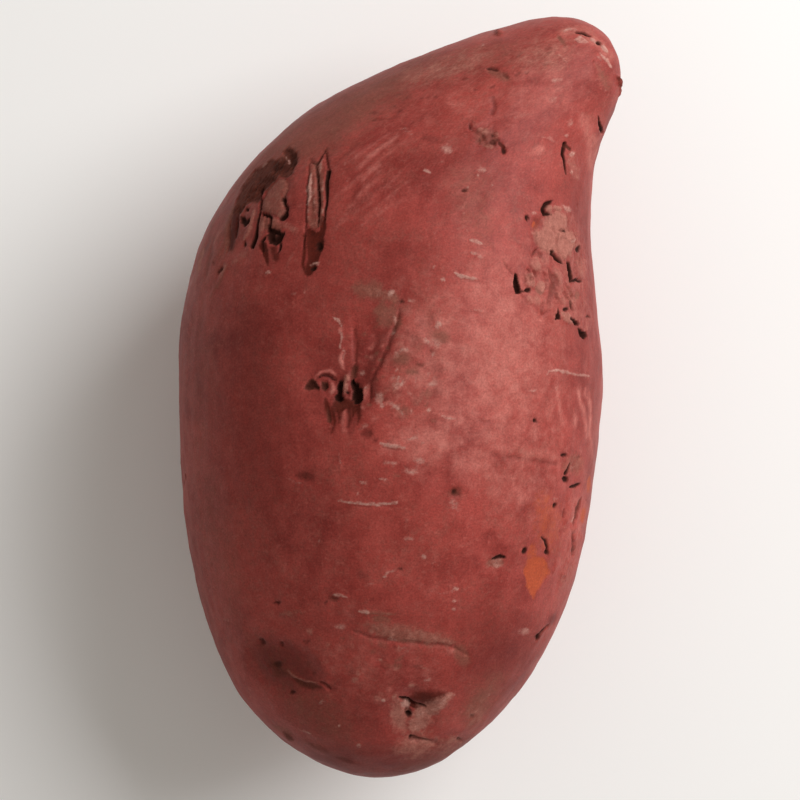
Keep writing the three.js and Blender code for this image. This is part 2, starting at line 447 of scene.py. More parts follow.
@dataclass(frozen=True)
class UpperMarks:
    """The marks of the root's upper side, drawn on one chart in millimetres of a root 140 mm long.

    Each anchor is a share of the box's half-sizes, across and along.
    """

    shoulder: Point = (-0.56, 0.527)
    bud: Point = (-0.233, 0.036)
    scab: Point = (0.703, 0.354)
    neck: Point = (0.68, 0.859)
    crown: Point = (0.144, 0.447)
    belly: Point = (-0.037, -0.27)
    flank: Point = (0.667, -0.27)
    tail: Point = (-0.264, -0.748)
    seed: int = 11

    def groups(self, chart: Chart, half: Vector) -> list[MarkGroup]:
        """Places every group.

        Args:
            chart: the sheet over the upper side.
            half: the box's half-sizes, in millimetres.
        Returns:
            The groups, with the broad washes of colour, painted shade and painted sheen first.
        """
        drawn = {
            "stains_and_shading": ((0.0, 0.0), self.stains_and_shading()),
            "shoulder_scar": (self.shoulder, self.shoulder_scar()),
            "splits": (self.shoulder, self.splits()),
            "bud": (self.bud, self.bud_scar()),
            "bud_dust": (self.bud, self.bud_dust()),
            "scab": (self.scab, self.scab_patch()),
            "neck": (self.neck, self.neck_marks()),
            "nub": (self.neck, self.nub_marks()),
            "crown": (self.crown, self.crown_marks()),
            "belly": (self.belly, self.belly_marks()),
            "flank": (self.flank, self.flank_marks()),
            "tail": (self.tail, self.tail_marks()),
            "tail_pit": (self.tail, self.tail_pit()),
        }
        return [
            MarkGroup(name, chart, (share[0] * half.x, share[1] * half.y), marks)
            for name, (share, marks) in drawn.items()
        ]

    def stains_and_shading(self) -> list[Mark]:
        """The broad changes of colour, from the middle of the root: grey-brown film and tan along the edges;
        pale washes over the middle and right that are partly dust and partly painted sheen where the lamp
        falls brightest; and deeper red washes that are painted shade where less light falls, down the left,
        along the right edge and towards both ends.
        """
        return [
            *each(
                wash,
                (-13, 51, 24, 5, 33, SCURF, 0.85), (10, 62, 15, 4, 16, SCURF, 0.6),
                (27, 58, 10, 7, 15, BLOOM, 0.4), (9, 61.5, 10, 3, 16, CORK, 0.45),
                (27, 63.5, 7, 4, 10, CORK, 0.5), (-32, 30, 14, 5, 62, SCURF, 0.5),
                (-36, 30, 13, 4, 62, SHADE, 0.35), (-37, 0, 4, 30, 0, SCURF, 0.36),
                (-33, -28, 5, 18, 12, SCURF, 0.45), (-22, -52, 5, 12, 38, SCURF, 0.35),
                (-15, -59, 9, 5, -35, SCURF, 0.6), (14, -66, 16, 4, 20, SCURF, 0.7),
                (16, -56, 3, 7, -30, SCURF, 0.7), (4, -44, 12, 4, -8, SCURF, 0.35),
                (29, 6, 6, 28, 5, BLOOM, 0.28), (22, -16, 8, 8, 0, BLOOM, 0.52),
                (15, 32, 6, 14, 20, BLOOM, 0.35), (14, 36, 5, 9, 20, SCURF, 0.5),
                (9, 5, 10, 17, 10, BLOOM, 0.62), (18, 8, 12, 20, 0, BLOOM, 0.74),
                (5, 14, 5, 9, -10, SCURF, 0.3), (5, -8, 8, 5, 0, BLOOM, 0.7),
                (5, -34, 10, 8, 0, BLOOM, 0.16), (14, -12, 5, 4, 0, BLOOM, 0.7),
                (12, 54, 12, 9, 20, BLOOM, 0.3), (-4, -50, 16, 10, -10, BLOOM, 0.3),
                (-26, -3, 9, 22, 4, SHADE, 0.6), (-12, 24, 10, 14, 0, SHADE, 0.5),
                (-1, 27, 10, 10, 0, SHADE, 0.46), (-13, 5, 5, 8, 0, SHADE, 0.6),
                (-10, 42, 8, 6, 20, SHADE, 0.28), (-3, -33, 15, 5, 0, SHADE, 0.26),
                (-4, -42, 17, 8, 0, SHADE, 0.42), (0, -67, 22, 5, 0, SHADE, 0.65),
                (-4, 19, 6, 10, 25, SHADE, 0.5), (-8, -60, 16, 7, -20, SHADE, 0.5),
                (34, 26, 7, 22, 2, SHADE, 0.62), (37, 4, 5, 18, 0, SHADE, 0.5),
                (18, -47, 11, 10, 40, SHADE, 0.72), (11, 45, 13, 8, 25, SHADE, 0.45),
            ),
        ]

    def shoulder_scar(self) -> list[Mark]:
        """The torn crust on the shoulder, with an island of skin left in it."""
        island = (
            (1.1, 4.3), (2.4, 3.6), (2.7, 2.6), (1.9, 0.3), (1.9, -0.8), (2.2, -1.9),
            (1.6, -3.0), (0.9, -3.4), (-0.4, -2.8), (-2.4, -2.1), (-2.3, -0.3), (-1.5, 1.5), (-0.4, 3.0),
        )
        crust = (
            (3.6, 9.5), (4.2, 8.6), (4.1, 6.8), (3.4, 4.8), (2.3, 3.9), (0.9, 4.4), (-0.8, 3.0), (-2.2, 0.8),
            (-3.0, -0.4), (-4.4, -0.4), (-5.4, -1.4), (-6.4, -2.8), (-7.4, -2.4), (-7.2, 0.2), (-5.9, 2.8),
            (-3.6, 5.5), (-0.7, 7.4), (0.3, 7.1), (1.6, 8.0), (1.9, 9.0),
        )
        rng = random.Random(self.seed + 4)
        streaks = [
            self._strand(
                rng, (rng.uniform(-15.5, -8.5), rng.uniform(-12, 2)), rng.uniform(3, 9), -112, tint, 0.8
            )
            for tint in (SCURF, BLOOM, SHADE, CORK) * 5
        ]
        return streaks + [
            Mark(crust, {CRUST: 1.0}, depth=0.2, rough=0.22, slope=0.6, fade=0.4, lip=0.08, ragged=2.5),
            stroke(((-7.2, -1.0), (-7.6, -5.0), (-8.3, -9.4)), {RUST: 0.6, SHADE: 0.9}, 1.8, 0.1, fade=0.5),
            Mark(
                oval(3.2, 7.6, 0.95, 1.9), {CRUST: 1.0, PIT: 0.35}, depth=0.3, rough=0.2, fade=0.3, ragged=3,
            ),
            Mark(oval(1.2, 6.2, 1.7, 1.1, 20), {CRUST: 1.0, PIT: 0.4}, rough=0.2, fade=0.4, ragged=3),
            Mark(oval(-1.9, 3.2, 2.4, 1.1, 50), {CRUST: 1.0, PIT: 0.32}, rough=0.2, fade=0.4, ragged=3),
            Mark(oval(-4.4, 1.4, 1.6, 1.2, 50), {CORK: 0.3}, rough=0.2, fade=0.5, ragged=3),
            Mark(oval(-1.2, -4.4, 2.6, 1.4, -20), {SCURF: 0.9}, fade=0.6, slope=0.8),
            *each(
                fleck,
                (((2.0, 8.0), (2.3, 7.3), (2.5, 6.9)), 0.55, 0.75), (((-2.6, 6.0), (-1.4, 7.0)), 0.3, 0.45),
                (((-5.0, 4.0), (-3.3, 5.4)), 0.3, 0.4),
            ),
            *each(
                crack,
                (((-6.6, -1.0), (-6.9, -4.0), (-7.2, -7.2)), 0.5, 0.3, 0.45),
                (((-8.3, -4.0), (-8.5, -7.0), (-8.8, -9.8)), 0.45, 0.3, 0.4),
            ),
            stroke(
                ((-7.6, -0.6), (-8.6, -5.0), (-9.2, -9.8)), {SCURF: 1.0, CORK: 0.3}, 1.6, -0.06, fade=0.5,
            ),
            *self._crust_fibres(rng),
            Mark(island, {PIT: 1.0}, depth=0.5, slope=0.3, fade=0.2),
            Mark(island, {CORK: 0.42, SCURF: 0.8}, depth=-0.6, slope=0.5, fade=0.14),
            *each(
                slit,
                (((1.2, -3.6), (2.2, -3.0), (2.45, -1.6), (2.2, -0.6)), 0.75),
                (((-4.1, -8.7), (-3.5, -6.9), (-3.1, -4.6), (-2.7, -2.4)), 0.85, 0.8),
            ),
            dot(-1.2, -13.6, 0.75, 0.6),
            smear(3.6, 0.8, 1.1, 3.8, 4, RUST, 0.28),
            *each(
                crack,
                (island[3:8], 0.35, 0.4), (((-2.2, 2.6), (-2.6, 1.7), (-2.5, 0.6)), 0.65),
                (((-2.3, 0.6), (-2.6, -1.0), (-2.7, -2.6)), 0.3, 0.35),
                (((-2.7, -2.5), (-1.6, -2.8), (-0.6, -3.3), (-0.6, -4.4), (-0.8, -5.4)), 0.6, 0.6),
            ),
            *each(hole, (1.85, -0.1, 0.34, 0.62, 8), (-10.1, -13.1, 0.62, 0.46, 20, 0.65)),
            Mark(oval(-11.3, -11.7, 0.9, 0.35, 20), {CRUST: 0.55}, depth=0.12, fade=0.25),
            gap(
                (
                    (-1.1, -4.8), (-0.3, -5.4), (0.7, -5.7), (1.9, -6.5), (1.2, -7.7), (0.1, -8.4),
                    (-1.0, -8.2), (-1.3, -6.8),
                ),
            ),
            Mark(oval(0.2, -6.7, 0.5, 0.45), {CORK: 0.7}, depth=-0.7, slope=0.3, ragged=0.5),
            *each(
                crack,
                (((1.1, -7.9), (0.9, -9.2), (0.6, -10.0)), 0.45, 0.35),
                (((-1.6, -6.8), (-2.2, -7.8), (-2.2, -10.0)), 0.6, 0.35, 0.8),
            ),
            Mark(
                ((-2.1, -8.6), (-1.5, -10.6), (-1.1, -12.4)), {RUST: 0.75}, 1.5, 0.05, fade=0.3,
                taper=Taper.END,
            ),
            Mark(((-0.2, -9.2), (0.3, -10.8)), {RUST: 0.5}, 1.6, fade=0.4),
            stroke(((-3.6, -1.5), (-4.6, -5.0), (-5.8, -7.6)), {CORK: 0.6}, 1.0, -0.15),
            stroke(((-1.9, -3.6), (-2.2, -5.2), (-2.6, -6.9)), {CORK: 0.55}, 0.9, -0.12),
            Mark(((0.0, -4.2), (2.0, -4.6), (4.0, -5.6)), {CORK: 0.45}, 1.4, -0.1, fade=0.4),
            hole(-5.5, -8.1, 0.35, 0.45),
            stroke(((-8.0, -12.0), (-4.6, -9.0)), {CORK: 0.4}, 1.3, -0.06, fade=0.4),
            crack(((-6.0, -1.2), (-5.3, -1.9), (-4.5, -1.8)), 0.45, 0.35),
            gap(((-6.3, -3.2), (-5.4, -3.7), (-4.5, -3.3), (-4.6, -4.2), (-5.4, -4.8), (-6.2, -4.3)), 0.6),
        ]

    def _crust_fibres(self, rng: random.Random) -> list[Mark]:
        """Short dark and pale fibres that follow the crust down the shoulder."""
        spine = ((3.0, 8.0), (0.6, 6.0), (-2.0, 4.0), (-4.4, 1.6), (-6.4, -1.2), (-7.4, -4.6))
        fibres = []
        for (x, y), (to_x, to_y) in zip(spine, spine[1:]):
            turn = math.degrees(math.atan2(to_y - y, to_x - x))
            for tint, strength in ((PIT, 0.45), (CORK, 0.4), (PIT, 0.4), (SCURF, 0.9)):
                start = (x + rng.gauss(0, 0.7), y + rng.gauss(0, 0.7))
                fibres.append(self._strand(rng, start, rng.uniform(1.0, 2.6), turn, tint, strength, 0.42, 2))
        return fibres

    @staticmethod
    def _strand(
        rng: random.Random, start: Point, run: float, turn: float, tint: Tint, strength: float,
        width: float = 0.8, fineness: int = 1,
    ) -> Mark:
        """A soft, slightly bent line of that length and direction, in degrees."""
        way = math.radians(turn + rng.uniform(-9, 9))
        c, s, bend = run * math.cos(way), run * math.sin(way), rng.uniform(-0.06, 0.06)
        x, y = start
        points = (start, (x + c / 2 - bend * s, y + s / 2 + bend * c), (x + c, y + s))
        deep = 0.1 if tint in (PIT, SHADE) else -0.06
        return stroke(points, {tint: strength}, width, deep, fade=width / 2, fineness=fineness)

    def splits(self) -> list[Mark]:
        """The long dry splits beside the crust, and the rusty tear that they run out into."""
        tear = (
            (6.0, -5.2), (8.7, -6.2), (9.3, -7.6), (9.0, -9.2), (8.0, -11.3), (6.9, -13.9),
            (6.0, -14.4), (5.3, -13.4), (6.1, -11.4), (5.9, -8.0),
        )
        return [
            Mark(((7.7, 5.6), (7.6, 1.0), (7.4, -3.8)), {CORK: 0.35, SCURF: 0.7}, 3.2, 0.12, fade=0.3),
            Mark(((7.2, 0.0), (7.2, -4.6)), {RUST: 0.35}, 2.4, fade=0.8),
            Mark(tear, {RUST: 0.78, CRUST: 0.1}, depth=0.2, slope=0.8, fade=0.25, rough=0.06),
            Mark(((5.7, -13.6), (5.2, -12.0), (5.6, -9.0), (5.5, -6.4)), {RUST: 0.6}, 0.7, fade=0.3),
            *each(
                dot,
                (6.4, 2.6, 0.8, 1.0), (6.2, -0.8, 0.7, 0.9), (5.6, -16.5, 0.65, 0.8), (12.9, 6.5, 0.5, 0.6),
                (13.2, 3.4, 0.55, 0.45),
            ),
            *each(
                fleck,
                (((6.6, 4.8), (6.4, 2.0), (6.2, -0.6)), 0.9, 1.0, 0.2),
                (((6.3, -0.2), (6.1, -2.0), (6.0, -4.0)), 0.5, 0.36, 0.2),
                (((7.3, 4.4), (7.3, 1.4), (7.2, -2.4)), 0.5, 0.26, 0.15),
                (((8.9, 7.6), (8.5, 5.8), (8.4, 4.7)), 0.6, 0.6, 0.15),
                (((8.9, 4.8), (8.9, 1.4), (8.7, -3.0)), 0.6, 0.32, 0.15),
                (((3.1, -17.5), (4.4, -17.2)), 0.5, 0.5),
            ),
            *each(
                crack,
                ((
                    (6.6, 7.8), (6.3, 5.6), (6.1, 3.0), (5.9, -1.0), (5.7, -5.4), (5.3, -9.4),
                ), 0.36, 0.3, 0.34),
                (((6.5, 7.7), (7.1, 6.9), (7.8, 6.6), (8.3, 7.2), (8.8, 8.5), (9.5, 9.3)), 0.5, 0.3, 0.5),
                (((9.5, 9.5), (9.7, 7.4), (10.0, 5.4), (9.8, 4.4)), 0.42, 0.3, 0.5),
                (((7.6, 6.8), (7.9, 4.2), (8.1, 1.2), (8.0, -1.8), (8.0, -5.0)), 0.55, 0.5, 0.65),
            ),
            stroke(((3.4, -9.6), (2.3, -12.2)), {CORK: 0.45}, 0.8, -0.05, fade=0.3),
            slit(((10.0, 5.2), (9.7, 3.4), (9.6, 0.0), (9.3, -2.6), (9.1, -4.6)), 0.8, 0.45),
            Mark(((8.9, -3.6), (9.0, -5.0), (8.8, -6.6)), {RUST: 0.9}, 1.0, 0.1, fade=0.2),
            hole(8.3, -8.6, 0.65, 0.95),
            fleck(((6.3, -11.9), (7.2, -11.7), (8.2, -12.0)), 0.55, 0.85),
            hole(7.1, -12.8, 0.6, 0.5, 0, 0.85),
        ] + self.hatching()

    def hatching(self) -> list[Mark]:
        """Fine pale lines that fan out beside the splits."""
        rng = random.Random(self.seed)
        lines = []
        for i in range(30):
            x, y = rng.uniform(10.5, 17.0), rng.uniform(-6.0, 7.0)
            run, slant = rng.uniform(5.0, 11.0), math.radians(rng.uniform(33, 42))
            bend = rng.uniform(-0.3, 0.3)
            end = (x + run * math.cos(slant), y + run * math.sin(slant))
            middle = ((x + end[0]) / 2 - bend, (y + end[1]) / 2 + bend)
            tint = {BLOOM: rng.uniform(0.35, 0.8), CHALK: 0.07} if i % 3 else {SHADE: 0.6}
            depth = -0.04 if i % 3 else 0.04
            width = rng.uniform(0.5, 0.95)
            lines.append(stroke(((x, y), middle, end), tint, width, depth, fade=0.45, fineness=1))
        return lines

    def bud_scar(self) -> list[Mark]:
        """The large bud scar, where a shoot or root broke off in a dimple."""
        between = ((0.9, 0.9), (1.7, 8.2), (4.6, 11.2), (7.6, 11.7), (8.9, 10.2), (7.1, 5.6), (4.3, 0.6))
        bib = (
            (-2.9, -3.1), (-1.9, -2.9), (-0.3, -2.6), (0.8, -3.1), (2.4, -3.4), (2.2, -4.7), (0.9, -5.5),
            (0.1, -4.5), (-1.1, -4.5), (-2.2, -4.9), (-3.0, -4.0),
        )
        wedge = ((0.3, 2.7), (1.4, 4.4), (1.7, 2.6), (1.7, 1.5), (1.0, 0.9), (0.6, 1.6))
        return [
            # The broad first line, the area between the two creases and the SHADE wash at (2.4, 7.0) paint
            # shade on the side of the fold that turns from the lamp; the SHADE wash at (0.5, -1.0) darkens
            # the dimple.
            stroke(
                ((2.0, -0.6), (3.2, 1.6), (4.8, 4.6), (6.4, 8.0), (8.0, 11.4), (9.2, 14.2)), {SHADE: 0.6},
                3.4, 0.3, fade=2.0, fineness=1,
            ),
            stroke(
                ((3.4, -0.8), (4.8, 1.2), (6.2, 4.0), (7.6, 7.2), (8.8, 10.4), (9.8, 14.0)),
                {CRUST: 0.22, SHADE: 0.9}, 0.7, 0.22, fade=0.55,
            ),
            Mark(between, {SHADE: 0.6}, depth=0.15, slope=1.0, fade=1.3, ragged=3, fineness=1),
            Mark(bib, {RUST: 0.95, CRUST: 0.3}, depth=0.1, slope=0.6, fade=0.6, ragged=5),
            *each(
                wash,
                (0.5, -1.0, 4.4, 4.0, 0, SHADE, 0.6, 0.4), (9.8, 5.0, 4.6, 7.5, -28, BLOOM, 0.0, -0.55),
                (2.4, 7.0, 3.0, 6.0, -15, SHADE, 0.35, 0.25),
            ),
            *each(
                self._tail,
                (-2.6, 4.6, RUST), (-1.6, 3.0, RUST), (0.3, 3.6, RUST), (1.2, 4.8, SHADE), (2.1, 3.0, RUST),
            ),
            stroke(
                ((-0.6, -4.4), (-0.7, -6.0), (-0.8, -9.0)), {BLOOM: 0.7}, 0.9, -0.06, fade=0.6, fineness=1,
            ),
            stroke(((0.6, -5.0), (0.7, -7.0), (0.4, -9.4)), {SHADE: 0.9}, 1.0, 0.1, fade=0.6, fineness=1),
            stroke(((1.3, 10.6), (1.4, 7.4), (1.3, 4.2)), {SHADE: 0.8, CRUST: 0.25}, 0.8, 0.2, fade=0.6),
            stroke(((-4.1, -2.4), (-3.7, -4.2), (-3.2, -6.7)), {RUST: 0.6}, 1.2, 0.1, fade=0.35),
            Mark(
                ((-3.4, -6.6), (-3.5, -5.6), (-3.7, -4.4)), {CRUST: 0.9, PIT: 0.1}, 0.8, 0.15, fade=0.35,
                taper=Taper.END,
            ),
            Mark(wedge, {CRUST: 0.75, PIT: 0.18}, depth=0.35, slope=0.5, fade=0.35, rough=0.08, ragged=3),
            stroke(
                ((-6.2, 1.4), (-4.7, 2.3), (-3.2, 2.6), (-1.9, 1.7)), {BLOOM: 1.0}, 0.8, -0.15, fade=0.35,
            ),
            stroke(((14.0, -4.2), (17.6, -5.6), (22.0, -6.4)), {BLOOM: 1.0}, 0.7, fade=0.4),
            Mark(oval(3.7, -9.2, 1.1, 0.85), {SHADE: 0.9, CRUST: 0.3}, depth=0.15, fade=0.3),
            dot(15.4, -4.6, 0.7, 0.6),
            fleck(((17.4, -5.6), (18.8, -6.2), (20.3, -6.3)), 0.6, 0.55),
            *each(
                gap,
                ((
                    (-8.1, -0.7), (-7.4, 0.5), (-6.7, 1.1), (-5.9, 0.7), (-5.4, -0.1), (-4.9, -0.9),
                    (-6.2, -0.8),
                ), 0.5, 0.34),
                (((-4.9, 0.5), (-3.8, 0.5), (-3.4, -0.3), (-4.0, -1.1), (-4.7, -0.8)), 0.5, 0.4),
                ((
                    (0.8, 1.2), (1.7, 0.2), (2.6, -0.9), (3.0, -1.8), (2.5, -3.2), (1.1, -3.5), (0.8, -2.1),
                    (1.1, -1.0), (0.6, 0.2),
                ), 1.3),
            ),
            stroke(((-6.3, 1.0), (-5.6, 0.3), (-4.7, -0.9)), {CORK: 0.5}, 0.45, -0.25),
            stroke(((4.5, 0.2), (4.5, -1.6), (4.3, -3.6)), {RUST: 0.5}, 0.6, 0.15, fade=0.3),
            crack(((-5.8, 1.1), (-4.5, 1.75), (-3.6, 1.75), (-2.8, 1.2), (-1.9, 0.6)), 0.65, 0.4, 0.5),
            stroke(((-3.0, 0.6), (-2.6, -0.6), (-3.0, -1.6)), {BLOOM: 0.9}, 0.7, -0.15, fade=0.3),
            *each(
                gap,
                (((-1.8, 0.4), (-1.1, 0.9), (-0.9, 0.0), (-1.1, -1.6), (-1.8, -1.5), (-2.0, -0.6)), 1.0),
                (((-2.4, -2.1), (-1.8, -1.6), (-0.9, -2.3), (-1.0, -3.0), (-1.6, -3.2), (-2.3, -2.7)), 0.9),
            ),
            Mark(oval(-0.1, 1.4, 0.6, 1.0), {CORK: 0.7}, depth=-0.45, slope=0.5),
            Mark(oval(-0.4, -0.5, 0.62, 1.4), {CORK: 0.72}, depth=-0.4, slope=0.4, ragged=0.6),
            stroke(((-0.9, 6.4), (-1.2, 4.6), (-0.7, 2.9)), {BLOOM: 1.0}, 0.8, -0.1, fade=0.35),
            hole(0.05, -1.5, 0.32, 0.36),
            stroke(((3.9, 0.2), (3.5, -1.2), (3.0, -2.8)), {BLOOM: 1.0}, 1.0, -0.15, fade=0.5),
            knob(-0.3, -2.4, 0.5, 0.45, 0, 0.45),
        ]

    @staticmethod
    def _tail(x: float, run: float, tint: Tint) -> Mark:
        """A rusty line that runs out below the bud scar."""
        points = ((x, -4.4), (x + 0.2, -4.4 - run / 2), (x - 0.2, -4.4 - run))
        return Mark(points, {tint: 0.72}, 1.3, 0.05, fade=0.6, taper=Taper.END)

    def bud_dust(self) -> list[Mark]:
        """Dust, pale flakes and a dry thread of skin round the bud scar."""
        rng = random.Random(self.seed + 1)
        specks = [
            smear(
                rng.gauss(9.0, 4.0), rng.gauss(2.5, 7.0), rng.uniform(0.3, 0.9), rng.uniform(0.25, 0.6),
                rng.uniform(-30, 60), rng.choice((SCURF, CHALK, BLOOM, SHADE)), rng.uniform(0.45, 1.0),
            )
            for _ in range(120)
        ]
        mottles = [
            Mark(
                oval(
                    rng.uniform(8.5, 17.5), rng.uniform(-6, 16),
                    rng.uniform(0.7, 1.9), rng.uniform(0.6, 1.3), 50, 8,
                ),
                {tint: most * rng.uniform(0.6, 1.0)}, fade=0.7, ragged=5, fineness=1,
            )
            for tint, most in ((SCURF, 1.0), (SHADE, 0.8), (CORK, 0.55), (SHADE, 0.6)) * 7
        ]
        return mottles + specks + [
            Mark(oval(4.0, 17.6, 3.6, 1.7, -8), {SCURF: 1.0, CORK: 0.2}, fade=0.8, ragged=6, fineness=1),
            Mark(oval(7.6, 16.6, 2.6, 1.1, -24), {SCURF: 1.0, CORK: 0.38}, fade=0.6, ragged=6, fineness=1),
            Mark(oval(6.8, 13.2, 1.7, 2.6, 15), {SCURF: 1.0, CORK: 0.15}, fade=0.7, ragged=6, fineness=1),
            Mark(oval(8.9, 12.2, 1.4, 2.0, 10), {SCURF: 0.8}, fade=0.6, ragged=6, fineness=1),
            Mark(oval(6.0, -2.2, 1.0, 1.2), {CHALK: 0.5}, depth=-0.06, fade=0.3, ragged=3),
            Mark(oval(8.7, -3.8, 1.7, 0.5, -12), {CHALK: 0.6}, depth=-0.06, fade=0.3, ragged=3),
            *each(
                smear,
                (17.3, 9.0, 2.0, 1.2, -20, SCURF, 1.0), (16.6, 7.6, 1.1, 1.0, 10, CHALK, 0.4),
                (10.2, 4.8, 1.8, 1.5, 30, SCURF, 1.0), (12.4, 2.5, 1.5, 0.8, -10, SCURF, 1.0),
                (10.7, 6.6, 0.9, 0.5, -10, CHALK, 0.55), (14.0, 11.4, 1.3, 1.0, 20, SHADE, 0.7),
                (12.4, 8.6, 1.0, 1.4, 30, SHADE, 0.6), (13.6, 3.6, 0.9, 0.5, -20, CRUST, 0.5),
                (16.0, 6.1, 0.8, 0.6, -30, CRUST, 0.5),
            ),
            hole(10.2, 15.5, 0.45, 0.6, 0, 0.55),
            *each(dot, (5.5, 16.9, 0.6, 0.65), (8.7, 17.2, 0.7), (9.6, -4.2, 0.9), (3.3, -0.6, 0.7, 0.5)),
            *each(
                fleck,
                (((-3.4, 11.8), (-2.3, 12.3), (-1.6, 12.1), (-1.0, 11.0)), 0.42, 0.95),
                (((-1.6, 11.0), (-1.0, 9.1), (-1.3, 6.9), (-0.4, 6.2), (-0.6, 4.6)), 0.38, 0.6),
                (((10.8, 15.8), (11.7, 15.6), (12.7, 15.6)), 0.55, 0.6),
                (((8.9, 13.0), (8.8, 11.2)), 0.55, 0.6),
            ),
        ]

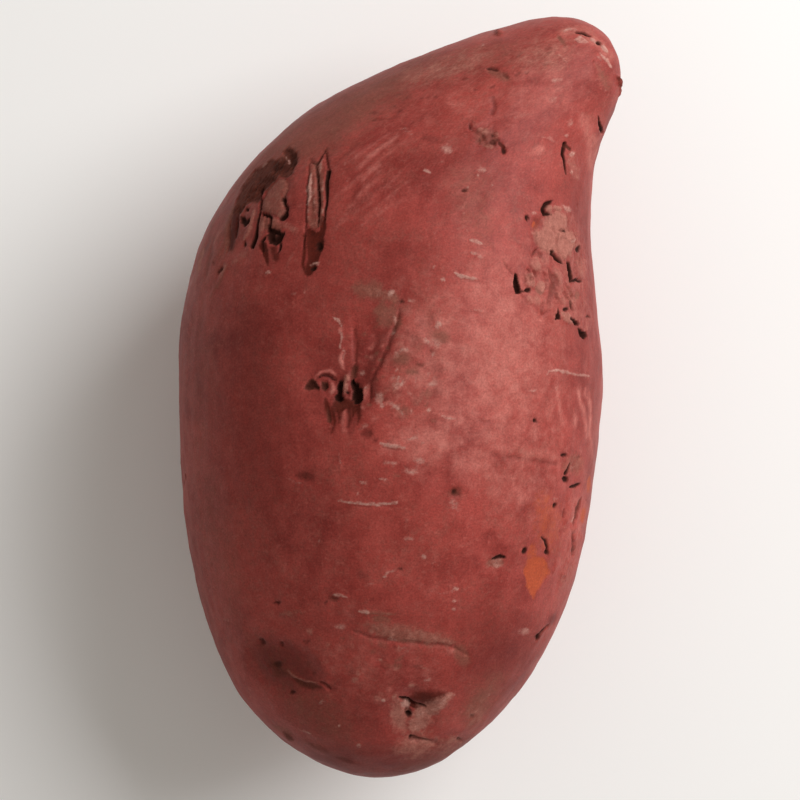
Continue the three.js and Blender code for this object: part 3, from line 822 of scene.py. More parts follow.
    def scab_patch(self) -> list[Mark]:
        """The wide scab below the neck: tan plates that crumpled and cracked as they healed."""
        ground = (
            (-0.8, 11.4), (2.2, 11.6), (4.4, 9.2), (6.0, 4.0), (6.6, -1.0), (6.6, -6.0), (7.4, -10.0),
            (6.2, -14.0), (4.0, -11.2), (0.2, -10.6), (-3.4, -8.0), (-6.4, -5.6), (-7.4, -2.2), (-5.2, 0.6),
            (-3.6, 3.4), (-3.4, 7.0),
        )
        joined = (
            (-1.4, 9.4), (0.6, 10.3), (2.3, 9.2), (2.9, 7.0), (4.2, 5.6), (4.4, 3.6), (3.0, 2.0), (1.6, 0.6),
            (0.2, 1.8), (-2.0, 2.4), (-3.6, 3.6), (-3.8, 5.6), (-2.4, 7.4),
        )
        return [
            Mark(ground, {CORK: 0.26, BLOOM: 0.4}, depth=-0.1, slope=1.2, rough=0.14, fade=0.9, ragged=4),
            Mark(joined, {CORK: 0.72}, depth=-0.12, slope=0.9, rough=0.1, fade=0.5, ragged=4),
            Mark(oval(-2.6, -4.2, 0.85, 1.2, -15), {CORK: 1.0}, depth=-0.32, slope=0.4, rough=0.03),
            Mark(((0.2, 10.6), (0.9, 10.4)), {CORK: 0.9}, 0.9, -0.2),
            Mark(
                ((5.6, 27.0), (7.4, 23.0), (7.6, 18.0)), {CORK: 0.3, BLOOM: 0.6}, 2.6, fade=0.8, fineness=1,
            ),
            *each(
                slit,
                (((2.1, 22.6), (1.8, 20.6), (2.4, 16.8)), 0.65),
                (((9.1, 24.7), (8.8, 25.8), (8.3, 27.6)), 0.55, 0.5),
            ),
            Mark(((2.1, 22.3), (3.1, 21.5)), {CRUST: 0.9}, 0.6, 0.2),
            *each(
                plate,
                ((
                    (-0.9, 9.2), (0.6, 9.9), (1.9, 9.0), (2.5, 7.0), (2.0, 6.1), (0.2, 6.2), (-1.7, 6.6),
                ), 0.12),
                ((
                    (-3.2, 3.8), (-3.6, 5.2), (-2.6, 6.7), (-1.0, 6.6), (0.2, 5.4), (0.3, 3.8), (-1.0, 2.6),
                    (-2.2, 3.0),
                ),),
                ((
                    (0.4, 5.6), (1.6, 6.3), (3.0, 5.9), (4.1, 4.8), (3.8, 3.2), (2.7, 2.2), (1.9, 0.9),
                    (0.8, 1.6), (0.3, 3.2),
                ), 0.26),
                (((3.5, 7.6), (4.6, 6.6), (5.2, 3.6), (4.8, 0.6), (3.9, 1.4), (3.9, 4.6)), 0.12, 0.4),
                (((4.2, 1.6), (5.4, 1.8), (6.0, -0.6), (5.7, -2.6), (4.4, -2.4), (4.0, -0.4)), 0.16, 0.45),
                ((
                    (-4.2, 1.6), (-3.0, 1.8), (-2.2, -0.4), (-2.6, -1.8), (-4.0, -1.0), (-4.6, 0.2),
                ), 0.2, 0.55),
                (((-5.4, -1.6), (-4.0, -1.4), (-3.4, -3.0), (-3.6, -4.4), (-5.2, -4.0)), 0.22, 0.6),
                ((
                    (-0.2, -0.6), (1.0, -0.4), (1.6, -3.0), (1.4, -6.0), (0.6, -7.2), (0.4, -3.6),
                ), 0.22, 0.45),
                (((1.8, -4.0), (3.2, -3.8), (4.4, -6.6), (4.0, -8.6), (2.8, -7.6), (1.9, -6.0)), 0.18, 0.4),
                (((1.1, -8.6), (2.6, -8.9), (4.0, -10.4), (3.0, -10.9), (1.6, -10.1)), 0.25, 0.9),
                (((-5.0, -5.6), (-3.0, -5.4), (-2.2, -7.4), (-3.6, -7.6), (-5.0, -6.6)), 0.1, 0.5),
                (((2.6, 21.2), (4.2, 21.2), (5.2, 18.0), (4.9, 15.6), (3.2, 16.0), (2.6, 18.8)), 0.1, 0.42),
            ),
            wash(-1.2, -2.6, 2.6, 4.4, 10, SHADE, 0.4),
            fleck(((1.4, 11.1), (2.3, 10.5), (3.1, 9.7)), 0.9, 0.55, 0.1),
            *each(
                knob,
                (3.1, 4.9, 0.9, 0.7, 20, 1.0), (1.2, 5.4, 0.7, 0.6, 0, 0.9), (-2.4, 5.0, 0.7, 1.1, 20, 0.9),
                (1.6, -6.6, 0.45, 0.9, 25, 0.6), (2.4, -9.2, 0.6, 0.4, -30, 0.8),
            ),
            *each(
                crack,
                (((-0.3, 12.0), (-1.5, 11.2), (-2.1, 10.3), (-1.7, 9.5), (-0.6, 9.4)), 0.8, 0.7),
                (((3.2, -3.1), (4.2, -2.8), (5.4, -3.0)), 0.55, 0.45),
                (((-6.4, -4.6), (-5.6, -4.9), (-4.9, -4.8)), 0.35, 0.3, 0.7),
                (((-9.7, 1.2), (-8.8, -0.4), (-7.6, -2.0)), 0.3, 0.15, 0.35),
                (((-5.0, -0.6), (-4.5, -1.3)), 0.35, 0.25, 0.55),
                (((2.9, -9.6), (3.8, -10.4), (4.6, -11.2)), 0.6),
            ),
            Mark(oval(-1.0, 10.5, 0.55, 0.6), {CORK: 1.0}, depth=-0.3, slope=0.3, ragged=0.5),
            *each(
                hole,
                (-5.0, 8.7, 0.38, 0.42), (-0.5, 2.2, 0.35, 0.5, -20), (-4.8, -4.8, 0.65, 0.45),
                (4.3, -10.9, 0.5, 0.4), (6.4, -9.6, 0.35, 0.3, 0, 0.6),
            ),
            Mark(
                ((-3.9, 8.7), (-1.7, 9.0), (-2.5, 7.1), (-3.4, 5.6), (-3.9, 7.4)),
                {RUST: 0.3, FLESH: 0.28, SHADE: 0.45}, depth=0.15, fade=0.3,
            ),
            Mark(oval(-3.7, 7.6, 0.3, 0.5), {FLESH: 0.95}, fade=0.2, ragged=2),
            stroke(((-3.9, 1.9), (-3.4, 2.8), (-2.9, 3.2)), {RUST: 0.5}, 0.4, 0.15),
            *each(
                dot,
                (3.3, 4.6, 0.8, 0.6), (-3.9, 9.5, 0.9, 0.55), (3.4, 20.6, 0.9, 0.6), (3.4, 17.2, 0.7, 0.5),
            ),
            *each(
                crack,
                (((2.1, 8.6), (2.7, 6.8), (2.8, 5.9)), 0.3, 0.25, 0.55),
                (((0.8, 6.2), (1.3, 6.1), (1.9, 6.3)), 0.45, 0.3, 0.75),
                (((-0.8, 2.7), (0.2, 1.2), (0.9, 0.7), (1.6, 0.2)), 0.6, 0.6),
            ),
            *each(
                fold,
                (((-4.4, 1.8), (-3.7, 2.2), (-3.0, 2.6)), 0.6),
                (((-3.1, 2.5), (-2.4, 1.7), (-1.7, 0.4)), 0.7), (((-4.0, -1.1), (-3.5, -2.3), (-3.6, -3.0)),),
                (((-2.0, -1.4), (-1.5, -3.0), (-1.8, -4.8)),),
                (((-1.8, -6.4), (-2.4, -8.2), (-2.1, -9.5), (-1.0, -8.4), (-0.7, -6.8)), 0.35),
                (((2.2, 9.4), (2.6, 7.8), (2.8, 6.2)),),
                (((-0.8, 6.5), (0.2, 6.3), (1.2, 6.2)), 0.3, 0.15, 0.3),
            ),
            *each(
                knob,
                (-3.1, -0.4, 0.55, 0.8, 10, 0.9), (-2.4, -4.6, 0.5, 1.0, -12, 1.0),
                (-1.9, 0.9, 0.5, 0.7, -20, 0.5),
            ),
            *each(
                gap,
                ((
                    (2.2, 0.5), (2.7, 0.3), (3.3, -0.6), (3.45, -2.6), (3.3, -3.2), (2.7, -3.3), (2.6, -1.6),
                ), 1.1),
                (((-7.3, -1.6), (-6.9, -1.8), (-6.3, -3.4), (-6.1, -5.2), (-7.0, -5.4), (-7.3, -3.2)), 0.9),
                (((4.6, -11.8), (5.9, -12.3), (6.1, -13.5), (5.6, -13.9), (4.8, -12.7)), 0.9),
            ),
            stroke(
                ((-1.0, -0.9), (-0.2, -3.0), (-0.5, -5.4), (-1.2, -7.4)), {RUST: 0.3, SHADE: 0.8}, 1.5, 0.3,
                fade=0.4,
            ),
            *each(knob, (0.5, -2.4, 0.4, 1.2, 30, 0.6), (3.4, -5.0, 0.6, 0.9, 10, 0.35)),
            *each(
                fold,
                (((-4.9, -2.0), (-4.5, -3.2)),), (((-0.1, -4.0), (0.2, -5.2), (0.5, -6.6)),),
                (((1.1, -4.6), (1.8, -5.6), (2.5, -6.6)),), (((2.0, -3.6), (2.9, -5.2), (3.5, -7.0)),),
                (((0.1, 5.0), (0.2, 3.6), (0.4, 2.4)), 0.3, 0.15, 0.35),
            ),
            *each(hole, (4.6, 2.9, 0.4, 0.65, -10), (2.1, -8.3, 0.55, 0.35)),
            crack(((2.7, -6.6), (3.4, -8.4)), 0.35, 0.25, 0.6),
            Mark(oval(4.4, -5.6, 0.7, 0.9), {SCURF: 0.8}, depth=0.1, fade=0.3),
            gap(((0.7, -8.0), (0.3, -10.2), (1.2, -10.2)), 0.7),
            fold(((3.8, 5.4), (4.1, 2.4), (4.0, 0.0)), 0.35, 0.22, 0.5),
        ]

    def neck_marks(self) -> list[Mark]:
        """Scratches and scabs on the neck."""
        rng = random.Random(self.seed + 2)
        flecks = [
            Mark(
                oval(rng.uniform(-38, 2), 0.0, rng.uniform(0.3, 0.9), 0.25, rng.uniform(0, 40)),
                {SHADE: 0.9}, depth=0.05, fade=0.2,
            )
            for _ in range(22)
        ]
        edge = [self._slid(mark, 5.6 + 0.3 * mark.points[0][0] - rng.uniform(0, 5)) for mark in flecks]
        return edge + [
            stroke(((-11.4, 0.8), (-9.2, 0.2), (-7.2, -0.9)), {SCURF: 1.0}, 1.6, 0.1, fade=0.6),
            stroke(((1.5, 4.0), (2.6, 3.2), (3.5, 2.2)), {CHALK: 0.4}, 0.4, -0.08, fade=0.25),
            Mark(((-10.3, -4.4), (-9.8, -5.8), (-10.4, -7.0)), {SHADE: 0.95}, 0.9, 0.15, fade=0.4),
            Mark(((-0.9, -11.5), (0.2, -11.7), (1.1, -12.4)), {CHALK: 0.4}, 0.6, -0.05, fade=0.3),
            *each(
                smear,
                (1.7, -1.0, 1.1, 0.5, 12, CHALK, 0.55), (0.8, -4.5, 0.9, 0.5, 20, CHALK, 0.45),
                (-4.8, -7.6, 2.2, 0.4, 10, CHALK, 0.35), (4.0, -9.0, 0.5, 0.8, -30, CHALK, 0.45),
                (-2.0, -14.0, 1.6, 0.8, 30, BLOOM, 0.9),
            ),
            *each(dot, (3.4, -11.4, 0.7, 0.45), (-12.0, 5.5, 0.5, 0.5)),
            *each(
                crack,
                (((-11.7, 1.2), (-10.6, 1.2), (-9.2, 0.8)), 0.6, 0.25, 0.5),
                (((-8.6, 0.2), (-7.4, -0.6)), 0.5, 0.15, 0.35),
                (((-14.6, -9.0), (-14.5, -9.9), (-13.4, -10.6)), 0.5, 0.3, 0.5),
            ),
            Mark(
                oval(-11.2, -11.6, 2.9, 1.9, -30), {SCURF: 0.6, SHADE: 0.8}, depth=0.1, rough=0.16, fade=0.7,
                ragged=4,
            ),
            crack(((-12.2, -11.0), (-11.6, -11.8)), 0.8, 0.25, 0.35),
            *each(hole, (-10.2, -12.6, 0.8, 0.55, -20, 0.5), (-8.3, -13.8, 0.5, 0.7, 15, 0.7)),
            Mark(((-8.9, -12.6), (-8.2, -13.3)), {RUST: 0.8}, 0.7, 0.1),
            *each(
                knob,
                (-12.6, -10.0, 0.7, 0.5, 20, 0.6), (-11.4, -10.4, 0.6, 0.8, -20, 0.6),
                (-9.4, -11.2, 0.7, 0.5, -30, 0.55), (-10.8, -13.2, 0.8, 0.5, -10, 0.5),
            ),
            plate(((-14.2, -8.4), (-12.6, -8.6), (-12.8, -9.9), (-14.0, -9.9)), 0.12, 0.4),
            *each(
                hole,
                (-12.4, -12.0, 0.45, 0.3, 10, 0.45), (-10.4, -11.2, 0.4, 0.5, 0, 0.5),
                (-9.2, -12.2, 0.4, 0.3, 20, 0.45),
            ),
            fold(((-13.6, -10.6), (-12.4, -11.2), (-11.4, -12.6), (-10.4, -13.6)), 0.4),
        ]

    @staticmethod
    def _slid(mark: Mark, rise: float) -> Mark:
        """The same mark, moved along the chart."""
        return replace(mark, points=tuple((x, y + rise) for x, y in mark.points))

    def nub_marks(self) -> list[Mark]:
        """The nub's dry end, with the fibres that held the root to its vine."""
        return [
            Mark(((3.0, 8.0), (6.0, 8.4), (9.0, 6.4), (11.6, 3.2)), {CORK: 0.35, BLOOM: 0.5}, 2.6, fade=0.8),
            Mark(((13.0, -0.6), (13.5, -2.0), (13.4, -3.6)), {CRUST: 0.5}, 0.9, -0.6, rough=0.15, ragged=2),
            Mark(oval(-9.2, 8.0, 0.8, 0.8), {CRUST: 0.4}, depth=-0.5, slope=0.8),
            fleck(((2.8, 8.0), (3.8, 8.3), (5.4, 8.2)), 0.65, 0.6),
            crack(((4.9, 7.8), (6.6, 7.7), (8.0, 7.2)), 0.5, 0.35, 0.7),
            Mark(((2.0, 7.0), (2.6, 6.2), (3.1, 5.7)), {SCURF: 1.0, CRUST: 0.35}, 0.8, 0.08, fade=0.3),
            *each(
                fleck,
                (((5.2, 6.8), (6.4, 6.5), (7.6, 6.0)), 1.0, 0.55, 0.15),
                (((7.9, 6.9), (8.5, 6.2), (8.9, 5.7)), 0.6, 0.8, 0.15),
            ),
            hole(9.4, 5.8, 0.5, 0.35, -30),
            *each(
                fleck,
                (((9.9, 5.6), (10.6, 4.8), (11.0, 4.3)), 0.8, 1.0, 0.2),
                (((9.8, 4.0), (11.0, 2.6), (11.8, 1.2)), 0.6, 0.7, 0.1),
                (((9.2, 3.6), (10.0, 2.6)), 0.4, 0.55),
            ),
            hole(8.7, 2.4, 0.4, 0.4, 0, 0.35),
            stroke(
                ((9.2, 2.0), (10.2, -0.6), (11.4, -2.8)), {SCURF: 0.8, BLOOM: 0.6}, 1.8, 0.1, fade=0.7,
                ragged=4,
            ),
        ]

    def crown_marks(self) -> list[Mark]:
        """The pale cross-dashes and spots above the middle."""
        return [
            stroke(((4.6, -8.4), (6.6, -9.2), (9.2, -9.7)), {SHADE: 0.9}, 0.5, 0.12, fade=0.25),
            Mark(oval(0.2, 16.8, 2.2, 0.9, -12), {SHADE: 0.7}, depth=0.08, fade=0.5, fineness=1),
            Mark(((8.0, -15.3), (9.8, -15.8)), {SHADE: 0.8}, 0.4, 0.1, fade=0.25),
            *each(
                fleck,
                (((-1.4, 11.2), (-0.6, 11.0), (0.2, 10.6)), 0.6, 0.9),
                (((7.3, -1.9), (8.3, -2.1), (9.6, -2.7)), 0.8, 0.65),
                (((7.4, -4.2), (8.5, -4.5), (9.8, -5.1)), 0.8, 0.5),
                (((4.6, -7.9), (6.4, -8.7), (9.1, -9.2)), 0.7, 0.9, 0.12),
                (((7.9, -14.8), (9.0, -15.0), (9.9, -15.1)), 0.6, 0.4),
            ),
            *each(
                smear,
                (9.7, 11.4, 0.9, 0.6, -20, CHALK, 0.55), (3.2, 15.2, 1.2, 0.7, -15, CHALK, 0.6),
                (-4.2, 18.4, 1.3, 0.4, -20, CHALK, 0.5), (6.4, 0.4, 1.4, 0.5, -10, CHALK, 0.4),
            ),
            hole(6.4, 7.4, 0.7, 0.4, 0, 0.55),
            *each(
                dot,
                (7.0, 8.1, 0.8, 0.45), (2.9, 15.0, 0.6), (1.7, -11.1, 0.7), (2.5, -9.2, 0.8, 0.5),
                (0.7, -6.9, 0.7, 0.35), (8.9, 10.2, 0.5, 0.4), (11.5, 8.6, 0.6, 0.4), (6.2, 3.0, 0.6, 0.35),
            ),
        ]

    def belly_marks(self) -> list[Mark]:
        """The hair-thin scratch across the middle, with spots and flakes round it."""
        return [
            stroke(((-9.5, -0.3), (-5.0, -1.1), (0.4, -1.0)), {SHADE: 0.6}, 0.4, 0.1, fade=0.2),
            stroke(((-1.6, 9.9), (0.6, 9.5), (3.0, 9.2)), {SHADE: 0.8}, 0.5, 0.12, fade=0.25),
            Mark(oval(12.1, 1.3, 1.3, 1.0), {CRUST: 0.6}, depth=0.25, fade=0.7, slope=1.0, ragged=3),
            Mark(oval(-16.0, 4.4, 1.8, 0.9, -10), {SHADE: 1.0, CRUST: 0.3}, depth=0.2, slope=0.8, fade=0.6),
            stroke(((7.3, -11.2), (11.0, -13.0)), {CHALK: 0.35}, 0.4, -0.04, fade=0.3, fineness=1),
            Mark(oval(-5.3, -14.2, 1.3, 0.7), {SHADE: 0.8}, depth=0.08, fade=0.5, fineness=1),
            *each(
                smear,
                (0.0, 6.9, 1.3, 0.5, -8, CHALK, 0.5), (5.4, 7.4, 1.3, 0.6, -8, CHALK, 0.5),
                (3.8, 5.4, 1.7, 0.6, -5, CHALK, 0.5), (12.0, -0.9, 0.7, 1.5, 30, CHALK, 0.45),
                (3.4, -7.1, 1.0, 0.35, 0, CHALK, 0.5), (-3.4, -15.5, 1.1, 0.4, 5, CHALK, 0.4),
            ),
            *each(
                hole,
                (12.0, 1.5, 0.6, 0.45, 20, 0.5), (12.8, 0.9, 0.4, 0.35, 0, 0.35),
                (-15.9, 4.2, 0.35, 0.25, 0, 0.35), (1.9, -12.7, 0.5, 0.3, 10, 0.6),
            ),
            *each(
                dot,
                (6.1, 10.6, 0.7, 0.45), (-6.9, 2.6, 0.6), (-8.3, 3.7, 0.5, 0.55), (-6.0, 1.1, 0.45),
                (3.1, -3.7, 0.45, 0.4), (5.8, -8.7, 0.6, 0.6), (6.3, -10.6, 0.7), (-13.1, -7.3, 0.5, 0.8),
                (-1.1, -14.2, 0.7),
            ),
            *each(
                fleck,
                ((
                    (-10.4, 0.1), (-7.7, -0.3), (-5.0, -0.7), (-2.2, -0.8), (0.5, -0.6), (3.2, -0.3),
                ), 0.42, 1.0),
                (((-2.1, 10.6), (0.0, 10.1), (3.2, 9.7)), 0.8, 0.75, 0.1),
                (((0.8, 11.0), (3.4, 11.2), (5.8, 11.6)), 0.35, 0.45),
                (((-5.9, 3.5), (-4.6, 3.1)), 0.6, 0.65), (((-2.2, 3.9), (-0.6, 3.6)), 0.65, 0.6),
                (((-9.5, 8.9), (-9.3, 7.2), (-8.9, 5.8)), 0.35, 0.45),
                (((-19.4, 4.3), (-18.0, 3.5), (-16.4, 3.2)), 0.4, 0.5),
                (((4.3, -1.0), (4.4, -2.0)), 0.4, 0.4),
                (((-1.3, -14.3), (-0.5, -13.4), (1.2, -13.0)), 0.55, 0.6),
            ),
        ]

    def flank_marks(self) -> list[Mark]:
        """The marks down the right flank, with the skin rubbed through to the flesh."""
        rubbed = (
            (-3.3, -11.4), (-2.4, -10.7), (-1.3, -10.5), (-0.2, -10.9), (0.6, -11.8), (0.8, -13.0),
            (0.3, -14.4), (-0.8, -15.9), (-1.6, -17.2), (-2.3, -18.4), (-2.9, -17.2), (-3.2, -15.8),
            (-3.7, -14.4), (-3.8, -12.8),
        )
        rng = random.Random(self.seed + 3)
        streaks = [
            Mark(
                ((x, y), (x + rng.uniform(-0.2, 0.5), y - run / 2), (x + rng.uniform(-0.3, 0.8), y - run)),
                {BLOOM: 0.7}, rng.uniform(0.5, 1.1), -0.04, fade=0.5, taper=Taper.BOTH, fineness=1,
            )
            for x, y, run in (
                (rng.uniform(-6, 9.5), rng.uniform(8, 22), rng.uniform(2.5, 8)) for _ in range(16)
            )
        ]
        specks = [
            Mark(
                oval(
                    rng.gauss(0.2, 1.2), rng.uniform(-9.5, 0.5), rng.uniform(0.15, 0.4), rng.uniform(0.2, 0.6)
                ),
                {FLESH: rng.uniform(0.35, 0.7)}, fade=0.4, fineness=1,
            )
            for _ in range(24)
        ]
        lumps = [
            Mark(
                oval(
                    5.4 - 0.0135 * (y - 1) ** 2 + rng.gauss(0, 0.9), y,
                    rng.uniform(0.4, 0.9), rng.uniform(0.6, 1.5), rng.uniform(-30, 50), 7,
                ),
                {CORK: rng.uniform(0.1, 0.42)}, depth=-rng.uniform(0.08, 0.25),
                slope=0.6, rough=0.1, fade=0.5, ragged=4, fineness=1,
            )
            for y in (0.4, -0.8, -1.8, -2.9, -4.0, -5.2, -6.1, -7.3, -8.8, -9.9, -11.2, -12.6, -14.0)
        ]
        return streaks + specks + lumps + [
            stroke(
                ((5.9, 20.8), (7.2, 16.0), (7.6, 11.2)), {CHALK: 0.2, BLOOM: 0.9}, 0.9, -0.05, fade=0.4,
                fineness=1,
            ),
            stroke(
                ((8.0, 20.4), (8.4, 16.0), (8.3, 11.0)), {CHALK: 0.16, BLOOM: 0.9}, 0.7, fade=0.4,
                fineness=1,
            ),
            stroke(
                ((1.7, 22.2), (2.6, 18.6), (2.9, 15.0)), {CHALK: 0.16, BLOOM: 0.9}, 0.6, fade=0.4,
                fineness=1,
            ),
            Mark(((-12.2, 14.9), (-11.2, 14.4), (-10.2, 14.9)), {SHADE: 0.9}, 0.45, 0.12, fade=0.25),
            Mark(
                oval(-1.4, 8.6, 4.8, 1.1, -8), {CORK: 0.2, SCURF: 0.4, BLOOM: 0.6}, depth=-0.05, fade=0.6,
                ragged=4, fineness=1,
            ),
            Mark(((-10.0, 8.4), (-4.0, 7.6), (2.0, 6.8)), {SHADE: 0.8}, 0.7, 0.12, fade=0.5, fineness=1),
            Mark(rubbed, {FLESH: 1.0}, depth=0.08, slope=0.6, fade=0.5, ragged=2.5),
            Mark(oval(-2.2, -9.6, 1.0, 1.8), {FLESH: 0.6}, fade=0.6, ragged=3),
            Mark(oval(-9.2, -11.7, 1.8, 1.0, 8), {CHALK: 0.35, SCURF: 1.0}, depth=0.15, slope=0.5, fade=0.3),
            Mark(
                ((6.2, -1.2), (5.4, -4.4), (5.0, -8.2), (4.8, -11.6)), {CORK: 0.2, BLOOM: 0.4}, 4.6,
                rough=0.1, fade=1.2, ragged=4, fineness=1,
            ),
            *each(smear, (-3.8, -24.4, 1.3, 0.7, 20, CHALK, 0.5), (1.3, -22.2, 0.8, 1.2, -30, SHADE, 0.9)),
            wash(0.3, -4.0, 3.0, 6.5, 8, FLESH, 0.45),
            *each(
                hole,
                (-1.8, 14.8, 0.38, 0.38), (3.5, 8.4, 0.55, 0.4), (6.1, 7.7, 0.55, 0.5, 0, 0.75),
                (1.65, -0.95, 0.36, 0.38), (0.5, -9.9, 0.36, 0.5, 0, 0.9),
                (-3.8, -9.5, 0.42, 0.62, -15, 0.9), (-1.5, -25.3, 0.6, 0.45, 30),
            ),
            Mark(oval(5.0, 6.6, 2.2, 2.0), {SCURF: 0.7, CORK: 0.3}, rough=0.08, fade=0.6, ragged=3),
            hole(3.65, 3.8, 0.62, 0.55),
            slit(((3.7, 4.9), (4.1, 5.8), (4.4, 7.0)), 0.6),
            *each(
                crack,
                (((4.6, 2.2), (5.6, 2.6), (6.6, 3.1)), 0.6, 0.35, 0.8),
                (((-0.8, -6.8), (0.1, -7.6), (0.5, -8.8), (0.5, -9.9)), 0.45, 0.3, 0.8),
                (((6.8, 0.6), (6.1, -2.0), (5.4, -4.8)), 0.6, 0.3, 0.45),
                (((5.2, -6.0), (5.3, -8.4), (5.1, -10.6)), 0.55, 0.3, 0.45),
                (((-1.9, -26.0), (-0.9, -24.6), (0.6, -23.2)), 0.5, 0.35, 0.7),
            ),
            Mark(((4.6, -12.6), (3.8, -15.4)), {CORK: 0.4}, 2.4, -0.08, fade=0.7),
            Mark(oval(8.2, 2.9, 0.5, 1.6, -6), {FLESH: 0.75}, fade=0.3),
            Mark(oval(7.0, -2.9, 0.4, 1.6, -12), {FLESH: 0.75}, fade=0.3),
            *each(
                dot,
                (-11.2, 15.1, 0.7, 0.45), (5.0, 6.0, 0.9, 0.5), (1.7, 0.2, 0.8, 0.45),
                (-4.7, -9.4, 0.5, 0.3),
            ),
            *each(
                crack,
                (((-7.2, -10.7), (-8.4, -10.5), (-9.9, -11.1)), 0.7, 0.45),
                (((3.6, -1.6), (3.2, -3.6)), 0.4, 0.25, 0.4),
            ),
            *each(
                fleck,
                (((-0.1, 23.2), (0.6, 24.1), (3.8, 23.9), (5.3, 23.4), (8.8, 22.8)), 0.6, 0.62, 0.08),
                (((-3.3, 20.2), (-1.7, 20.4)), 0.5, 0.55), (((5.6, -2.6), (5.0, -4.4)), 0.5, 0.6),
            ),
        ]

    def tail_marks(self) -> list[Mark]:
        """The furrow, the sunken patch and the spots near the tail."""
        sunken = oval(-10.4, 2.3, 7.6, 4.6, -28)
        rng = random.Random(self.seed + 5)
        mottles = [
            smear(
                rng.gauss(5.5, 5.5), rng.gauss(2.5, 4.5),
                rng.uniform(0.4, 1.2), rng.uniform(0.3, 0.8), rng.uniform(-40, 40),
                rng.choice((CORK, SCURF, BLOOM, SHADE)), rng.uniform(0.3, 0.75),
            )
            for _ in range(70)
        ]
        return mottles + [
            Mark(sunken, {CRUST: 0.3, SHADE: 0.9}, depth=0.45, slope=3.0, fade=2.8, rough=0.06),
            Mark(oval(-11.8, 2.0, 2.8, 1.5, -30), {CRUST: 0.6}, rough=0.1, fade=1.1, ragged=5),
            stroke(((-10.0, 1.9), (-8.6, 0.4), (-6.8, -0.3), (-4.0, -0.6)), {CORK: 0.6}, 0.5, -0.2),
            Mark(oval(-1.4, 15.1, 1.2, 0.45, -8), {CRUST: 0.6}, depth=0.2, fade=0.4),
            Mark(
                ((5.0, 12.7), (8.6, 12.4), (12.6, 12.1)), {SCURF: 0.9, CORK: 0.25}, 0.9, -0.08, fade=0.3,
                taper=Taper.END,
            ),
            Mark(oval(7.8, 11.3, 1.8, 0.7, -5), {SCURF: 1.0, SHADE: 0.5}, fade=0.4, ragged=3),
            stroke(
                ((4.6, 10.4), (8.8, 9.0), (13.4, 8.2), (18.0, 7.6), (21.4, 7.0)), {CORK: 0.46, SCURF: 1.0},
                3.0, -0.1, fade=0.9, rough=0.05, ragged=3, fineness=1,
            ),
            stroke(
                ((2.4, 9.2), (6.0, 7.7), (10.4, 7.2), (15.0, 6.8), (20.2, 6.3), (24.2, 4.4)),
                {SHADE: 0.8, CRUST: 0.25}, 0.7, 0.18, fade=0.4,
            ),
            Mark(oval(22.6, 4.6, 1.4, 2.6, 20), {SCURF: 0.8}, depth=0.1, fade=0.6, fineness=1),
            Mark(((16.8, 16.4), (19.0, 16.2), (21.0, 16.5)), {CHALK: 0.3}, 0.6, fade=0.3),
            *each(
                smear,
                (0.0, 9.9, 1.2, 0.5, -8, CHALK, 0.5), (9.8, 7.4, 0.9, 0.5, 0, CHALK, 0.45),
                (-10.6, -9.4, 2.2, 0.7, -25, SCURF, 0.8), (-4.0, -12.6, 2.4, 0.6, -25, CRUST, 0.4),
                (-9.7, -10.6, 1.4, 0.5, -40, CRUST, 0.7), (1.0, -14.8, 2.0, 0.5, -15, CRUST, 0.5),
            ),
            crack(((-3.9, -0.5), (-2.8, -1.0), (-1.7, -1.8)), 0.8, 0.35, 0.3),
            stroke(((-9.0, 0.0), (-6.4, -1.3), (-3.4, -1.6)), {CRUST: 0.7}, 1.4, 0.2, fade=0.5),
            *each(
                dot,
                (21.2, 14.6, 0.8, 0.5), (21.2, 13.2, 0.8, 0.55), (-3.4, -4.3, 0.9, 0.4),
                (0.0, -8.3, 0.5, 0.8), (3.5, -12.0, 0.9, 0.4),
            ),
            *each(
                fleck,
                (((-1.4, 15.9), (0.2, 15.8), (1.5, 15.4)), 0.6, 0.65, 0.1),
                (((3.4, 12.8), (4.6, 12.7), (5.7, 12.6)), 0.6, 0.9, 0.1),
                (((21.0, 17.0), (22.2, 16.8)), 0.7, 0.6), (((-4.3, -4.6), (-2.4, -3.8)), 0.5, 0.4),
                (((-7.4, -9.3), (-5.4, -9.9)), 0.5, 0.5),
            ),
            *each(
                hole,
                (-11.7, 2.7, 0.9, 0.6, 0, 0.4), (-14.6, 6.9, 0.6, 0.95, 15, 0.45),
                (-11.1, 6.6, 0.5, 0.65, 0, 0.4), (-6.3, 7.2, 0.9, 0.4, 15, 0.3),
                (-5.1, 1.0, 0.6, 0.45, 0, 0.25), (-8.9, -2.4, 0.6, 0.45, 0, 0.5),
                (-11.8, 14.3, 0.85, 0.4, 0, 0.5), (-2.7, 14.2, 0.45, 0.3, 20, 0.4),
            ),
            Mark(
                oval(-9.0, 12.4, 2.2, 0.9, 5), {CORK: 0.4, SCURF: 0.6}, depth=-0.08, rough=0.08, fade=0.5,
                ragged=3,
            ),
        ]

